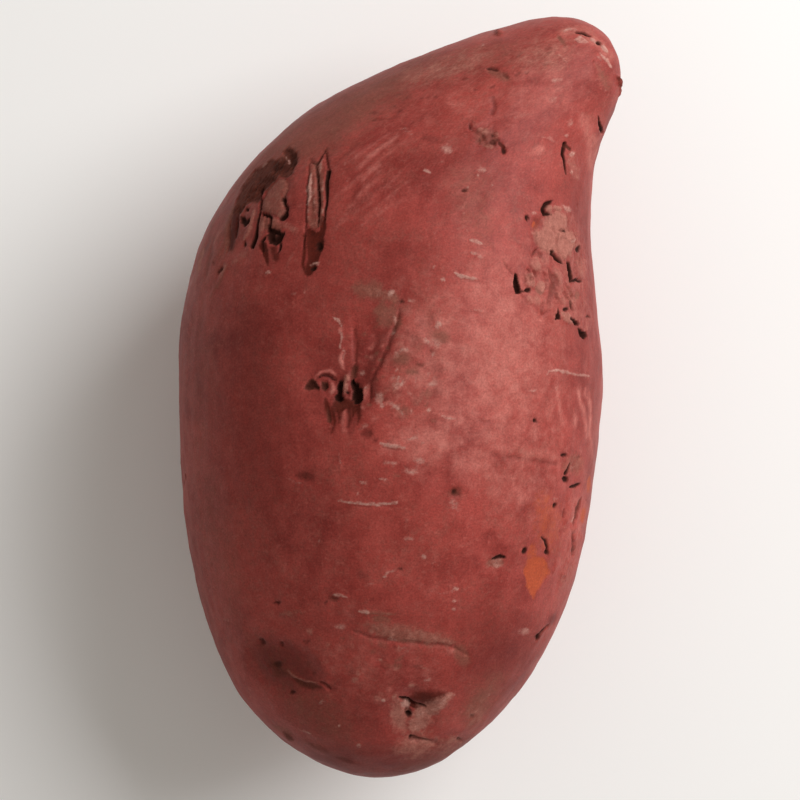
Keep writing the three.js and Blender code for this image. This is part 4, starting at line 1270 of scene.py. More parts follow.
    def tail_pit(self) -> list[Mark]:
        """The pit near the tail: a dimple under an overhanging brow, with healed skin round it."""
        return [
            Mark(oval(16.6, -3.1, 3.6, 1.4, 12), {SHADE: 1.0, RUST: 0.5}, depth=-0.3, slope=1.2, fade=0.8),
            Mark(
                (
                    (9.6, -4.6), (11.4, -3.6), (13.0, -5.6), (13.2, -7.0), (12.6, -9.4), (11.4, -10.4),
                    (9.6, -8.6), (8.8, -6.4),
                ),
                {CORK: 0.74}, depth=-0.12, slope=0.9, fade=1.3, ragged=5,
            ),
            stroke(
                ((13.2, -8.4), (15.0, -6.6), (17.4, -5.0), (20.6, -2.8)), {CORK: 1.0, CHALK: 0.28}, 2.5,
                -0.15, fade=0.8, ragged=3,
            ),
            Mark(
                oval(14.6, -8.6, 2.5, 1.5, 35), {CORK: 0.95, CHALK: 0.15}, depth=-0.15, slope=0.9, fade=0.8,
                ragged=4,
            ),
            Mark(oval(14.4, -12.2, 4.4, 2.4, 10), {CORK: 0.66}, rough=0.05, fade=1.4, slope=0.9, ragged=6),
            Mark(oval(20.6, -11.8, 2.8, 1.5, 30), {CORK: 0.52, SCURF: 0.7}, fade=1.2, ragged=6, fineness=1),
            stroke(
                ((11.0, -3.6), (12.7, -4.1), (14.4, -5.0), (16.0, -5.2)), {PIT: 0.75}, 0.8, 0.7, fade=0.3,
            ),
            Mark(((12.6, -4.6), (14.6, -5.6)), {RUST: 0.8}, 0.9, 0.2, fade=0.2),
            Mark(oval(12.3, -5.0, 1.0, 0.75, -10), {CHALK: 0.9}, depth=0.15, slope=0.4, fade=0.25, ragged=2),
            Mark(oval(12.7, -6.4, 0.8, 1.0), {RUST: 0.7}, depth=0.2, fade=0.4, slope=0.6),
            Mark(
                ((13.2, -10.9), (14.2, -11.1), (17.0, -11.2)), {PIT: 0.75}, 0.8, 0.45, fade=0.3,
                taper=Taper.END,
            ),
            Mark(((14.0, -11.3), (17.6, -11.6)), {SHADE: 0.9}, 1.3, 0.15, fade=0.4),
            *each(
                smear,
                (25.6, -5.2, 2.2, 4.6, -24, SCURF, 1.0), (25.0, -6.4, 1.6, 3.2, -24, CORK, 0.4),
                (10.7, 2.6, 0.9, 0.7, 0, SCURF, 0.9), (11.7, 5.8, 1.2, 0.6, 0, CHALK, 0.4),
            ),
            *each(
                hole,
                (12.8, -6.7, 0.5, 0.5, 0, 0.95), (22.2, -11.0, 0.5, 0.4, 0, 0.45),
                (24.5, -6.9, 0.5, 0.45, 0, 0.35),
            ),
            dot(8.0, -3.8, 0.7, 0.95),
            wash(13.0, -6.5, 4.5, 4.5, 0, SHADE, 0.3, 0.6),
            fleck(((15.6, -0.1), (17.1, 0.3)), 0.7, 0.45),
        ]


class ScarKind(Enum):
    """The kinds of scar that the flanks and the underside have."""

    SPLITS = "splits"
    SCAB = "scab"
    BUD = "bud"
    SPOTS = "spots"


@dataclass(frozen=True)
class HiddenScar:
    """A scar on a flank or the underside.

    The angle goes round the root from +X over the top, and along is a share of its half-length.
    """

    kind: ScarKind
    angle: float
    along: float
    size: float
    seed: int

    def marks(self) -> list[Mark]:
        """The scar's marks, from its middle."""
        rng = random.Random(self.seed)
        makers = {
            ScarKind.SPLITS: self._splits,
            ScarKind.SCAB: self._scab,
            ScarKind.BUD: self._bud,
            ScarKind.SPOTS: self._spots,
        }
        return makers[self.kind](rng)

    def _splits(self, rng: random.Random) -> list[Mark]:
        """A bundle of long dry splits along the root."""
        marks = []
        for _ in range(4):
            x, top = rng.uniform(-0.3, 0.3) * self.size, rng.uniform(0.3, 0.6) * self.size
            foot = top - rng.uniform(0.7, 1.2) * self.size
            side = rng.uniform(0.7, 1.2)
            middle = (x + rng.uniform(-0.4, 0.4), (top + foot) / 2)
            edge = ((x + side, top - 0.5), (middle[0] + side, middle[1]), (x + side, foot + 0.6))
            marks.append(fleck(edge, 0.8, 0.8))
            marks.append(crack(((x, top), middle, (x - 0.2, foot)), rng.uniform(0.4, 0.8), 0.5))
        tear = ((0, -0.4 * self.size), (0.4, -0.8 * self.size))
        marks.append(Mark(tear, {RUST: 0.9}, 1.8, 0.15, fade=0.4, taper=Taper.END))
        return marks

    def _scab(self, rng: random.Random) -> list[Mark]:
        """A crumpled tan scab with holes between its plates."""
        reach = self.size / 2
        ground = oval(0, 0, reach, 1.3 * reach)
        marks = [Mark(ground, {CORK: 0.42, BLOOM: 0.6}, depth=-0.1, slope=1, fade=1, ragged=4)]
        for _ in range(10):
            x, y = rng.gauss(0, 0.38) * reach, rng.gauss(0, 0.5) * reach
            outline = oval(x, y, rng.uniform(0.6, 1.5), rng.uniform(0.8, 1.8), rng.uniform(0, 180), 7)
            marks.append(plate(outline, rng.uniform(0.12, 0.3), rng.uniform(0.6, 1.0)))
        for _ in range(6):
            x, y = rng.gauss(0, 0.4) * reach, rng.gauss(0, 0.55) * reach
            marks.append(hole(x, y, rng.uniform(0.3, 0.6), rng.uniform(0.4, 1.1), rng.uniform(-40, 40)))
        return marks

    def _bud(self, rng: random.Random) -> list[Mark]:
        """A bud scar in its dimple, with an arched brow."""
        s = self.size / 6
        brow = ((-2.6 * s, 0.1), (-1.2 * s, 0.9 * s), (1.3 * s, 0.9 * s), (2.8 * s, 0.0))
        return [
            wash(0, 0, 3.4 * s, 2.6 * s, 0, SHADE, 0.7, depth=0.5),
            stroke(brow, {PIT: 0.9}, 0.6, 0.5),
            Mark(oval(0.1, -0.1, 0.9 * s, 0.6 * s), {CORK: 0.9}, depth=-0.35, slope=0.5),
            hole(-1.4 * s, -0.3, 0.4 * s, 0.5 * s),
            hole(1.3 * s, -0.4 * s, 0.35 * s, 0.4 * s),
            Mark(oval(0, -1.7 * s, 1.8 * s, 0.7 * s), {RUST: 0.6}, fade=0.5, ragged=3),
            fleck(((-3.2 * s, 1.6 * s), (0, 2.2 * s), (2.4 * s, 1.7 * s)), 0.5, rng.uniform(0.4, 0.6)),
        ]

    def _spots(self, rng: random.Random) -> list[Mark]:
        """A loose cluster of small holes and pale flecks."""
        marks = []
        for _ in range(5):
            x, y = rng.gauss(0, 0.35) * self.size, rng.gauss(0, 0.35) * self.size
            wide, high = rng.uniform(0.3, 0.6), rng.uniform(0.3, 0.5)
            marks.append(hole(x, y, wide, high, rng.uniform(0, 90), rng.uniform(0.6, 1)))
            marks.append(dot(x + rng.gauss(0, 1), y + rng.uniform(0.8, 2), rng.uniform(0.4, 0.8), 0.5))
        return marks


HIDDEN_SCARS = (
    HiddenScar(ScarKind.BUD, 196, 0.28, 6.5, 1),
    HiddenScar(ScarKind.SPOTS, 178, -0.18, 8.0, 2),
    HiddenScar(ScarKind.SPLITS, 214, -0.3, 9.0, 3),
    HiddenScar(ScarKind.BUD, 232, 0.55, 5.0, 4),
    HiddenScar(ScarKind.SCAB, 238, -0.05, 10.0, 5),
    HiddenScar(ScarKind.SPOTS, 205, -0.7, 7.0, 6),
    HiddenScar(ScarKind.BUD, 262, -0.52, 6.0, 7),
    HiddenScar(ScarKind.SPLITS, 283, 0.3, 8.0, 8),
    HiddenScar(ScarKind.SCAB, 312, -0.42, 9.0, 9),
    HiddenScar(ScarKind.BUD, 328, 0.12, 6.5, 10),
    HiddenScar(ScarKind.SPOTS, 338, -0.2, 8.0, 11),
    HiddenScar(ScarKind.SPOTS, 300, 0.62, 6.0, 12),
    HiddenScar(ScarKind.SPLITS, 345, 0.55, 6.0, 13),
    HiddenScar(ScarKind.BUD, 340, -0.68, 5.0, 14),
    HiddenScar(ScarKind.SPOTS, 268, 0.02, 8.0, 15),
)


# --------------------------------------------------------------------------------------------------
# Node groups and finishes
# --------------------------------------------------------------------------------------------------


class Sketch:
    """Adds nodes to a tree, and links them as it goes."""

    def __init__(self, tree: bpy.types.NodeTree) -> None:
        """Keeps the tree that is drawn in."""
        self.tree = tree

    def add(self, kind: str, inputs: dict | None = None, **settings: object) -> bpy.types.Node:
        """Adds a node.

        Args:
            kind: the node's type.
            inputs: a value or an output socket for each named or numbered input.
            settings: the node's own settings.
        Returns:
            The node.
        """
        node = self.tree.nodes.new(kind)
        for name, value in settings.items():
            setattr(node, name, value)
        for name, value in (inputs or {}).items():
            if isinstance(value, bpy.types.NodeSocket):
                self.tree.links.new(value, node.inputs[name])
            else:
                node.inputs[name].default_value = value
        return node

    def math(self, operation: str, *values: object) -> bpy.types.NodeSocket:
        """The result of a sum on one to three values."""
        node = self.add("ShaderNodeMath", dict(enumerate(values)), operation=operation)
        return node.outputs[0]

    def ramp(self, value: object, low: float, high: float) -> bpy.types.NodeSocket:
        """A smooth rise from 0 at low to 1 at high."""
        inputs = {"Value": value, "From Min": low, "From Max": high}
        node = self.add("ShaderNodeMapRange", inputs, interpolation_type="SMOOTHSTEP")
        return node.outputs["Result"]

    def noise(
        self, place: object, size: float, detail: float = 2.0, roughness: float = 0.5, warp: float = 0.0
    ) -> bpy.types.NodeSocket:
        """A noise from 0 to 1 whose blotches have that size, in the units of the place."""
        inputs = {"Vector": place, "Scale": 1 / size, "Detail": detail, "Roughness": roughness}
        return self.add("ShaderNodeTexNoise", {**inputs, "Distortion": warp}).outputs["Fac"]

    def stretch(self, place: object, across: float, along: float, up: float) -> bpy.types.NodeSocket:
        """The place with each of its axes multiplied."""
        inputs = {0: place, 1: (across, along, up)}
        return self.add("ShaderNodeVectorMath", inputs, operation="MULTIPLY").outputs[0]

    def blend(self, factor: object, first: object, second: object, mode: str = "MIX") -> bpy.types.NodeSocket:
        """One colour over another."""
        node = self.add("ShaderNodeMix", {"Factor": factor}, data_type="RGBA", blend_type=mode)
        for socket, value in ((node.inputs[6], first), (node.inputs[7], second)):
            if isinstance(value, bpy.types.NodeSocket):
                self.tree.links.new(value, socket)
            else:
                socket.default_value = value
        return node.outputs[2]

    def attribute(self, name: str) -> bpy.types.Node:
        """A node that reads one of the mesh's own attributes."""
        return self.add("ShaderNodeAttribute", attribute_name=name, attribute_type="GEOMETRY")


class Effects:
    """The shared effects, each a node group that is built once."""

    def __init__(self) -> None:
        """Builds them all."""
        self.layer = self._layer()
        self.grain = self._grain()

    @staticmethod
    def _group(name: str, inputs: Sequence[tuple], outputs: Sequence[tuple]) -> tuple:
        """Starts a node group.

        Args:
            name: the group's name.
            inputs: each input's name, socket type and default value.
            outputs: each output's name and socket type.
        Returns:
            The group, a sketch of it, and its input and output nodes.
        """
        tree = bpy.data.node_groups.new(name, "ShaderNodeTree")
        for label, kind, value in inputs:
            tree.interface.new_socket(label, in_out="INPUT", socket_type=kind).default_value = value
        for label, kind in outputs:
            tree.interface.new_socket(label, in_out="OUTPUT", socket_type=kind)
        sketch = Sketch(tree)
        return tree, sketch, sketch.add("NodeGroupInput"), sketch.add("NodeGroupOutput")

    def _layer(self) -> bpy.types.NodeTree:
        """A layer of tissue or dust over the skin, with a ragged edge where its mark fades."""
        tree, sketch, given, out = self._group(
            "tissue_layer",
            (
                ("Under", "NodeSocketColor", (0, 0, 0, 1)),
                ("Dark", "NodeSocketColor", (0, 0, 0, 1)),
                ("Light", "NodeSocketColor", (1, 1, 1, 1)),
                ("Mark", "NodeSocketFloat", 0.0),
                ("Noise", "NodeSocketFloat", 0.5),
                ("Fraying", "NodeSocketFloat", 0.4),
                ("Start", "NodeSocketFloat", 0.35),
                ("End", "NodeSocketFloat", 0.6),
                ("Opacity", "NodeSocketFloat", 1.0),
            ),
            (("Color", "NodeSocketColor"), ("Mask", "NodeSocketFloat")),
        )
        around = sketch.math("SUBTRACT", given.outputs["Noise"], 0.5)
        frayed = sketch.math("MULTIPLY_ADD", around, given.outputs["Fraying"], given.outputs["Mark"])
        present = sketch.math("GREATER_THAN", given.outputs["Mark"], 0.01)
        edge = sketch.add(
            "ShaderNodeMapRange",
            {"Value": frayed, "From Min": given.outputs["Start"], "From Max": given.outputs["End"]},
            interpolation_type="SMOOTHSTEP",
        )
        mask = sketch.math("MULTIPLY", edge.outputs["Result"], present)
        mask = sketch.math("MULTIPLY", mask, given.outputs["Opacity"])
        tissue = sketch.blend(given.outputs["Noise"], given.outputs["Dark"], given.outputs["Light"])
        color = sketch.blend(mask, given.outputs["Under"], tissue)
        sketch.tree.links.new(color, out.inputs["Color"])
        sketch.tree.links.new(mask, out.inputs["Mask"])
        return tree

    def _grain(self) -> bpy.types.NodeTree:
        """The skin's fine relief, in millimetres: pores, cross-wrinkles and fibres along the root."""
        tree, sketch, given, out = self._group(
            "skin_grain",
            (
                ("Place", "NodeSocketVector", (0, 0, 0)),
                ("Pores", "NodeSocketFloat", 0.02),
                ("Wrinkles", "NodeSocketFloat", 0.03),
                ("Fibres", "NodeSocketFloat", 0.03),
            ),
            (("Height", "NodeSocketFloat"), ("Fibre", "NodeSocketFloat")),
        )
        place = given.outputs["Place"]
        pores = sketch.math("SUBTRACT", sketch.noise(place, 0.32, 3, 0.6), 0.5)
        wrinkles = sketch.noise(sketch.stretch(place, 0.45, 1.6, 0.45), 0.9, 3, 0.6, 0.4)
        wrinkles = sketch.math("SUBTRACT", wrinkles, 0.5)
        fibre = sketch.noise(sketch.stretch(place, 1, 0.1, 1), 0.7, 3, 0.6)
        fibres = sketch.math("SUBTRACT", fibre, 0.5)
        height = sketch.math("MULTIPLY", pores, given.outputs["Pores"])
        height = sketch.math("MULTIPLY_ADD", wrinkles, given.outputs["Wrinkles"], height)
        height = sketch.math("MULTIPLY_ADD", fibres, given.outputs["Fibres"], height)
        sketch.tree.links.new(height, out.inputs["Height"])
        sketch.tree.links.new(fibre, out.inputs["Fibre"])
        return tree


@dataclass(frozen=True)
class Tissue:
    """One kind of tissue or dust: its colours, how its edge frays, and how rough it is."""

    tint: Tint
    dark: Color
    light: Color
    fraying: float = 0.4
    start: float = 0.35
    end: float = 0.6
    opacity: float = 1.0
    roughness: float = 0.8
    relief: float = 0.0  # millimetres
    soft: bool = False  # in soft patches rather than in specks


@dataclass(frozen=True)
class SkinFinish:
    """The skin's own reds, and the layers that lie over them from the lowest up."""

    deep: Color = tone(122, 42, 37)
    red: Color = tone(150, 58, 51)
    rose: Color = tone(172, 78, 70)
    dull: Color = tone(132, 72, 62)
    dusty: Color = tone(168, 92, 82)
    roughness: float = 0.52
    specular: float = 0.2
    grain: float = 0.55  # how much the finest specks show
    layers: tuple[Tissue, ...] = field(
        default_factory=lambda: (
            # The shade layer is the deeper red of creases and marks and also the painted shade of the broad
            # washes; the pale bloom layer is dust and also painted sheen.
            Tissue(SHADE, tone(84, 26, 22), tone(108, 34, 29), 0.5, 0.0, 1.0, 0.75, 0.6, soft=True),
            Tissue(BLOOM, tone(172, 78, 70), tone(196, 126, 115), 1.1, 0.1, 1.1, 0.75, 0.7, soft=True),
            Tissue(SCURF, tone(104, 56, 45), tone(132, 80, 66), 1.2, 0.1, 1.1, 0.75, 0.75),
            Tissue(RUST, tone(58, 11, 4), tone(94, 26, 12), 0.5, 0.1, 0.65, 1.0, 0.7),
            Tissue(FLESH, tone(152, 58, 36), tone(170, 78, 42), 0.9, 0.15, 0.8, 0.95, 0.6),
            Tissue(CORK, tone(118, 62, 53), tone(184, 122, 108), 1.0, 0.15, 0.85, 0.85, 0.8, 0.05),
            Tissue(CRUST, tone(47, 16, 10), tone(114, 56, 43), 0.9, 0.1, 0.8, 0.95, 0.85, 0.1),
            Tissue(CHALK, tone(146, 94, 84), tone(200, 154, 142), 1.3, 0.1, 0.9, 0.85, 0.85, 0.02),
            Tissue(PIT, tone(36, 11, 5), tone(54, 19, 10), 0.35, 0.05, 0.7, 1.0, 0.9),
        )
    )

    def material(self, effects: Effects) -> bpy.types.Material:
        """Builds the skin's material.

        Args:
            effects: the shared node groups.
        Returns:
            The material.
        """
        made = bpy.data.materials.new("sweet_potato_skin")
        made.use_nodes = True
        made.node_tree.nodes.clear()
        sketch = Sketch(made.node_tree)
        place = sketch.attribute("flow").outputs["Vector"]
        grain = sketch.add("ShaderNodeGroup", {"Place": place}, node_tree=effects.grain)
        color = self._reds(sketch, place, grain.outputs["Fibre"])
        speckle = sketch.noise(place, 1.3, 5, 0.72)
        mottle = sketch.noise(place, 2.4, 4, 0.6, 0.3)
        rough: object = sketch.math("MULTIPLY_ADD", sketch.noise(place, 2.5, 3), 0.16, self.roughness - 0.08)
        height = grain.outputs["Height"]
        for tissue in self.layers:
            mark = sketch.attribute(tissue.tint.value).outputs["Fac"]
            values = {
                "Under": color, "Dark": tissue.dark, "Light": tissue.light, "Mark": mark,
                "Noise": mottle if tissue.soft else speckle,
                "Fraying": tissue.fraying, "Start": tissue.start, "End": tissue.end,
                "Opacity": tissue.opacity,
            }
            layer = sketch.add("ShaderNodeGroup", values, node_tree=effects.layer)
            color, mask = layer.outputs["Color"], layer.outputs["Mask"]
            change = sketch.math("SUBTRACT", tissue.roughness, rough)
            rough = sketch.math("MULTIPLY_ADD", change, mask, rough)
            if tissue.relief:
                lumps = sketch.math("MULTIPLY", sketch.math("SUBTRACT", speckle, 0.5), tissue.relief)
                height = sketch.math("MULTIPLY_ADD", lumps, mask, height)
        color = sketch.blend(self.grain, color, sketch.noise(place, 0.34, 3, 0.65), "OVERLAY")
        bump = sketch.add("ShaderNodeBump", {"Strength": 1.0, "Distance": MM, "Height": height})
        shader = sketch.add(
            "ShaderNodeBsdfPrincipled",
            {"Base Color": color, "Roughness": rough, "Normal": bump.outputs["Normal"], "IOR": 1.45},
        )
        shader.inputs["Specular IOR Level"].default_value = self.specular
        sketch.add("ShaderNodeOutputMaterial", {"Surface": shader.outputs[0]})
        return made

    def _reds(
        self, sketch: Sketch, place: bpy.types.NodeSocket, fibre: bpy.types.NodeSocket
    ) -> bpy.types.NodeSocket:
        """The skin's mottled red, before anything lies over it."""
        broad = sketch.ramp(sketch.noise(place, 16, 3, 0.5), 0.3, 0.7)
        cloudy = sketch.ramp(sketch.noise(place, 4, 4, 0.6, 0.5), 0.3, 0.72)
        color = sketch.blend(broad, self.deep, self.red)
        color = sketch.blend(sketch.math("MULTIPLY", cloudy, 0.42), color, self.rose)
        streaks = sketch.math("MULTIPLY", sketch.ramp(fibre, 0.4, 0.75), 0.2)
        color = sketch.blend(streaks, color, self.deep)
        patches = sketch.ramp(sketch.noise(place, 8, 3, 0.5, 0.6), 0.45, 0.62)
        dull = sketch.ramp(sketch.noise(place, 1.0, 5, 0.7), 0.4, 0.65)
        dull = sketch.math("MULTIPLY", sketch.math("MULTIPLY", patches, dull), 0.4)
        color = sketch.blend(dull, color, self.dull)
        dust = sketch.ramp(sketch.noise(place, 2.2, 5, 0.75, 0.3), 0.48, 0.72)
        color = sketch.blend(sketch.math("MULTIPLY", dust, 0.28), color, self.dusty)
        dots = sketch.ramp(sketch.noise(place, 0.75, 2, 0.5), 0.58, 0.72)
        return sketch.blend(sketch.math("MULTIPLY", dots, 0.26), color, self.dusty)


# --------------------------------------------------------------------------------------------------
# The root
# --------------------------------------------------------------------------------------------------


@dataclass
class Root:
    """The whole root as one skin. Lengths are in millimetres."""

    smoothing: int = 2  # how often the frame's quads are halved all over
    reaches: tuple[float, ...] = (0.3, 0.1)  # how far round marks each finer cut goes
    lump: float = 0.3  # the height of the broad lumps
    swell: float = 0.12  # of the middling ones
    ripple: float = 0.1  # and of the small ones
    fibre: float = 0.05  # and of the ridges along the root
    finish: SkinFinish = field(default_factory=SkinFinish)

    def build(self, upper: UpperMarks, hidden: Sequence[HiddenScar], eye: Vector) -> bpy.types.Object:
        """Builds the skin.

        Args:
            upper: the marks of the upper side.
            hidden: the scars of the flanks and the underside.
            eye: the point that the upper side's chart is looked at from, in millimetres.
        Returns:
            The skin's object.
        """
        low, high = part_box(CAD_NODE)
        self.half = (high - low) / 2 / MM
        self.middle = (high + low) / 2 / MM
        bm = self._smooth_copy()
        drawing = Drawing(self._upper_groups(upper, eye) + self._hidden_groups(bm, hidden) + self._dashes(bm))
        for fineness, reach in enumerate(self.reaches, start=1):
            self._cut_finer(bm, drawing, fineness, reach)
        return self._sculpt(bm, drawing)

    def _smooth_copy(self) -> bmesh.types.BMesh:
        """A copy of the frame's root in smoothed quads, in millimetres."""
        bm = bmesh.new()
        bm.from_mesh(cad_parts[CAD_NODE].data)
        bmesh.ops.scale(bm, vec=Vector((1, 1, 1)) / MM, verts=bm.verts)
        bmesh.ops.remove_doubles(bm, verts=bm.verts, dist=0.001)
        anyhow = {"angle_face_threshold": math.pi, "angle_shape_threshold": math.pi}
        bmesh.ops.join_triangles(bm, faces=bm.faces, topology_influence=1.0, **anyhow)
        mesh = bpy.data.meshes.new("smoothing")
        bm.to_mesh(mesh)
        bm.free()
        holder = bpy.data.objects.new("smoothing", mesh)
        bpy.context.scene.collection.objects.link(holder)
        modifier = holder.modifiers.new("smoothing", "SUBSURF")
        modifier.levels = modifier.render_levels = self.smoothing
        evaluated = holder.evaluated_get(bpy.context.evaluated_depsgraph_get())
        smooth = bmesh.new()
        smooth.from_mesh(evaluated.to_mesh())
        evaluated.to_mesh_clear()
        bpy.data.objects.remove(holder)
        bpy.data.meshes.remove(mesh)
        quads = sum(len(f.verts) == 4 for f in smooth.faces)
        LOG.info("smoothed copy: %d faces, %d of them quads", len(smooth.faces), quads)
        return smooth

    def _upper_groups(self, upper: UpperMarks, eye: Vector) -> list[MarkGroup]:
        """The marks drawn on the sheet over the upper side."""
        chart = Chart(self.middle.copy(), Vector((1, 0, 0)), Vector((0, 1, 0)), eye)
        return upper.groups(chart, self.half)

    def _hidden_groups(self, bm: bmesh.types.BMesh, hidden: Sequence[HiddenScar]) -> list[MarkGroup]:
        """Each hidden scar on a sheet of its own, laid on the skin where the scar is."""
        tree = BVHTree.FromBMesh(bm)
        groups = []
        for i, scar in enumerate(hidden):
            turn = math.radians(scar.angle)
            start = self._middle_at(bm, scar.along * self.half.y)
            place, normal, _, _ = tree.ray_cast(start, Vector((math.cos(turn), 0, math.sin(turn))))
            chart = self._sheet(place, normal, 1.6 * scar.size + 4)
            groups.append(MarkGroup(f"hidden_{i}", chart, (0.0, 0.0), scar.marks()))
        return groups

    def _middle_at(self, bm: bmesh.types.BMesh, along: float) -> Vector:
        """The middle of the root's section at that place along it."""
        ring = [v.co for v in bm.verts if abs(v.co.y - along) < 1.5]
        xs, zs = [p.x for p in ring], [p.z for p in ring]
        return Vector(((min(xs) + max(xs)) / 2, along, (min(zs) + max(zs)) / 2))

    @staticmethod
    def _sheet(place: Vector, normal: Vector, reach: float) -> Chart:
        """A chart laid on the skin, with its long axis along the root."""
        along = Vector((0, 1, 0)) - normal * normal.y
        along.normalize()
        return Chart(place, along.cross(normal), along, reach=reach)

    def _dashes(self, bm: bmesh.types.BMesh) -> list[MarkGroup]:
        """The short pale pores that lie across the root, scattered over all of it, each with a thin dark line
        painted under it as its shadow; about a fifth are small holes instead.
        """
        rng = random.Random(5)
        bm.verts.ensure_lookup_table()
        groups = []
        for i in range(100):
            vert = bm.verts[rng.randrange(len(bm.verts))]
            run, bend = rng.uniform(0.8, 3.4), rng.uniform(-0.3, 0.3)
            line = ((-run / 2, 0.0), (0.0, bend), (run / 2, rng.uniform(-0.2, 0.2)))
            hidden = vert.normal.z < 0.15
            if rng.random() < 0.2:
                dark = 0.6 if hidden else 0.25
                marks = [hole(0, 0, rng.uniform(0.2, 0.4), rng.uniform(0.2, 0.3), dark=dark)]
            else:
                strength = rng.uniform(0.3, 0.75) if hidden else rng.uniform(0.15, 0.3)
                pale = {CHALK: strength}
                marks = [stroke(line, pale, rng.uniform(0.35, 0.65), -0.04, fade=0.2, fineness=1 + hidden)]
                # painted shadow: a thin dark line, slightly sunk, just under the pale pore
                below = tuple((x, y - 0.45) for x, y in line)
                marks.append(stroke(below, {SHADE: 0.7}, 0.5, 0.08, fade=0.35, fineness=1))
            sheet = self._sheet(vert.co.copy(), vert.normal.copy(), 5.0)
            groups.append(MarkGroup(f"dash_{i}", sheet, (0.0, 0.0), marks))
        return groups

    @staticmethod
    def _arrays(bm: bmesh.types.BMesh) -> tuple[np.ndarray, np.ndarray]:
        """The mesh's points and normals as arrays."""
        bm.normal_update()
        points = np.array([v.co[:] for v in bm.verts])
        normals = np.array([v.normal[:] for v in bm.verts])
        return points, normals

    def _cut_finer(self, bm: bmesh.types.BMesh, drawing: Drawing, fineness: int, reach: float) -> None:
        """Halves the edges of every face that has enough corners near marks that need it.

        Args:
            bm: the skin.
            drawing: the marks.
            fineness: which cut this is.
            reach: how far beyond a mark's edge it goes.
        """
        points, normals = self._arrays(bm)
        near = drawing.beyond(points, normals, fineness) < reach
        bm.verts.index_update()
        bm.edges.index_update()
        faces = [f for f in bm.faces if len(f.verts) == 4 and sum(near[v.index] for v in f.verts) >= fineness]
        edges = sorted({edge for face in faces for edge in face.edges}, key=lambda edge: edge.index)
        made = bmesh.ops.subdivide_edges(bm, edges=edges, cuts=1, use_grid_fill=True)
        fresh = [g for g in made["geom_inner"] if isinstance(g, bmesh.types.BMVert)]
        bmesh.ops.smooth_vert(bm, verts=fresh, factor=0.5, use_axis_x=True, use_axis_y=True, use_axis_z=True)
        LOG.info("cut %d: %d triangles", fineness, sum(len(f.verts) - 2 for f in bm.faces))

    def _sculpt(self, bm: bmesh.types.BMesh, drawing: Drawing) -> bpy.types.Object:
        """Moves the skin's points out and in, and writes its tints.

        Args:
            bm: the skin, cut fine where it has marks.
            drawing: the marks.
        Returns:
            The finished object.
        """
        bmesh.ops.triangulate(bm, faces=[f for f in bm.faces if len(f.verts) > 4])
        points, normals = self._arrays(bm)
        flow = self._flow(points)
        height, tints = drawing.relief(points, normals)
        height += self._unevenness(points, flow)
        moved = points + normals * height[:, None]
        resting = points[:, 2] < 0.02
        moved[resting] = points[resting]
        moved[:, 2] = np.maximum(moved[:, 2], 0)
        for vert, place in zip(bm.verts, moved):
            vert.co = Vector(place) * MM
        mesh = bpy.data.meshes.new("skin")
        bmesh.ops.recalc_face_normals(bm, faces=bm.faces)
        bm.to_mesh(mesh)
        bm.free()
        for tint, strength in tints.items():
            layer = mesh.attributes.new(tint.value, "FLOAT", "POINT")
            layer.data.foreach_set("value", strength.astype(np.float32))
        layer = mesh.attributes.new("flow", "FLOAT_VECTOR", "POINT")
        layer.data.foreach_set("vector", flow.astype(np.float32).ravel())
        mesh.polygons.foreach_set("use_smooth", [True] * len(mesh.polygons))
        skin = bpy.data.objects.new("skin", mesh)
        bpy.context.scene.collection.objects.link(skin)
        return skin

    def _flow(self, points: np.ndarray) -> np.ndarray:
        """The points with the root's bend taken out, so that patterns run along the root."""
        rows = np.linspace(-self.half.y + 1, self.half.y - 1, 24)
        bins = [points[np.abs(points[:, 1] - row) < 2.5, 0] for row in rows]
        middles = np.array([(b.min() + b.max()) / 2 for b in bins])
        flow = points.copy()
        flow[:, 0] -= np.interp(points[:, 1], rows, middles)
        return flow

    def _unevenness(self, points: np.ndarray, flow: np.ndarray) -> np.ndarray:
        """The relief that the skin has everywhere, in millimetres."""
        height = np.zeros(len(points))
        for i, (place, run) in enumerate(zip(points, flow)):
            lumps = noise.noise(Vector(place) / 11)
            swells = noise.noise(Vector(place) / 5.5)
            ripples = noise.noise(Vector(place) / 2.4)
            fibres = noise.noise(Vector((run[0] / 1.7, run[1] / 14, run[2] / 1.7)))
            height[i] = self.lump * lumps + self.swell * swells + self.ripple * ripples + self.fibre * fibres
        return height

    def dress(self, skin: bpy.types.Object, effects: Effects) -> None:
        """Gives the skin its finish."""
        skin.data.materials.append(self.finish.material(effects))


# --------------------------------------------------------------------------------------------------
# The studio
# --------------------------------------------------------------------------------------------------


@dataclass(frozen=True)
class Lamp:
    """A soft square lamp that faces the root's middle."""

    name: str
    place: tuple[float, float, float]
    size: float
    power: float

    def build(self, target: Vector) -> None:
        """Hangs the lamp."""
        data = bpy.data.lights.new(self.name, "AREA")
        data.size = self.size
        data.energy = self.power
        lamp = bpy.data.objects.new(self.name, data)
        bpy.context.scene.collection.objects.link(lamp)
        lamp.location = Vector(self.place)
        lamp.rotation_euler = (target - lamp.location).to_track_quat("-Z", "Y").to_euler()


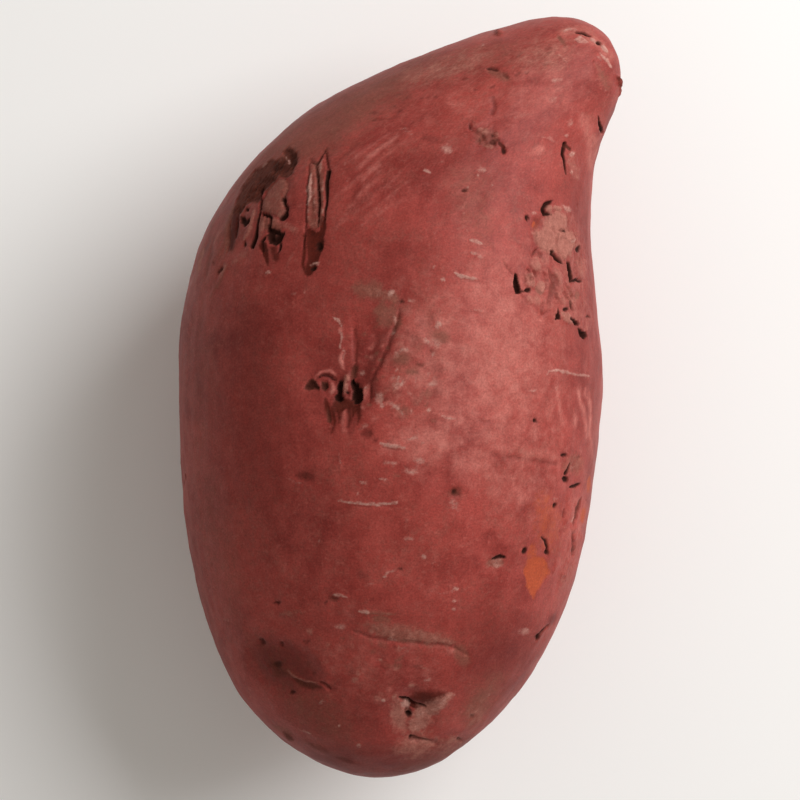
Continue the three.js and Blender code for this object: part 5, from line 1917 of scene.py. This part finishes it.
@dataclass
class Studio:
    """The pale floor, the lamps and the camera. Lengths are in metres."""

    camera_height: float = 0.5315
    lens: float = 120.0  # millimetres, over a sensor of 36
    aim: tuple[float, float] = (0.00033, -0.0003)
    floor_size: float = 6.0
    floor_drop: float = 0.00005
    floor_tone: Color = (0.92, 0.915, 0.91, 1.0)
    world_tone: Color = (1.0, 0.95, 0.87, 1.0)
    world_strength: float = 0.38
    lamps: tuple[Lamp, ...] = (
        Lamp("key", (0.61, 0.38, 0.59), 0.65, 9.4),
    )

    @property
    def eye(self) -> Vector:
        """Where the camera is."""
        return Vector((*self.aim, self.camera_height))

    def build(self) -> None:
        """Builds the floor, the lamps, the world and the camera."""
        low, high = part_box(CAD_NODE)
        for lamp in self.lamps:
            lamp.build((low + high) / 2)
        self._floor()
        self._world()
        self._camera()

    def _floor(self) -> None:
        """The floor, a little below the root so that the two don't share a plane."""
        bm = bmesh.new()
        bmesh.ops.create_grid(bm, x_segments=1, y_segments=1, size=self.floor_size / 2)
        bmesh.ops.translate(bm, vec=(0, 0, -self.floor_drop), verts=bm.verts)
        mesh = bpy.data.meshes.new("floor")
        bm.to_mesh(mesh)
        bm.free()
        floor = bpy.data.objects.new("floor", mesh)
        bpy.context.scene.collection.objects.link(floor)
        made = bpy.data.materials.new("pale_floor")
        made.use_nodes = True
        made.node_tree.nodes.clear()
        sketch = Sketch(made.node_tree)
        place = sketch.add("ShaderNodeTexCoord").outputs["Object"]
        mottle = sketch.noise(place, 0.08, 3)
        darker = tuple(0.985 * c for c in self.floor_tone[:3]) + (1.0,)
        color = sketch.blend(mottle, darker, self.floor_tone)
        shader = sketch.add("ShaderNodeBsdfPrincipled", {"Base Color": color, "Roughness": 0.9})
        shader.inputs["Specular IOR Level"].default_value = 0.2
        sketch.add("ShaderNodeOutputMaterial", {"Surface": shader.outputs[0]})
        mesh.materials.append(made)
        floor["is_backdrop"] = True

    def _world(self) -> None:
        """An even pale surrounding."""
        world = bpy.data.worlds.new("studio")
        bpy.context.scene.world = world
        world.use_nodes = True
        background = world.node_tree.nodes["Background"]
        background.inputs["Color"].default_value = self.world_tone
        background.inputs["Strength"].default_value = self.world_strength

    def _camera(self) -> None:
        """The camera, which looks straight down with the root's neck at the top."""
        data = bpy.data.cameras.new("camera")
        data.lens = self.lens
        data.clip_start = 0.01
        camera = bpy.data.objects.new("camera", data)
        bpy.context.scene.collection.objects.link(camera)
        camera.location = self.eye
        bpy.context.scene.camera = camera
        bpy.context.scene.view_settings.view_transform = "Standard"


def corners() -> list[list[float]]:
    """The lowest and highest corner of what is shown, as plain lists."""
    return [list(corner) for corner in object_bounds()]


def main() -> None:
    """Builds the studio and the root, and reports each piece."""
    logging.basicConfig(level=logging.INFO, format="%(message)s", force=True)
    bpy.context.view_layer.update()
    effects = Effects()
    studio = Studio()
    studio.build()
    root = Root()
    skin = root.build(UpperMarks(), HIDDEN_SCARS, studio.eye / MM)
    root.dress(skin, effects)
    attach(skin, CAD_BODY)
    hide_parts(CAD_NODE)
    LOG.info("piece %s: %d triangles", skin.name, len(skin.data.loops) - 2 * len(skin.data.polygons))


if __name__ == "__main__":
    main()
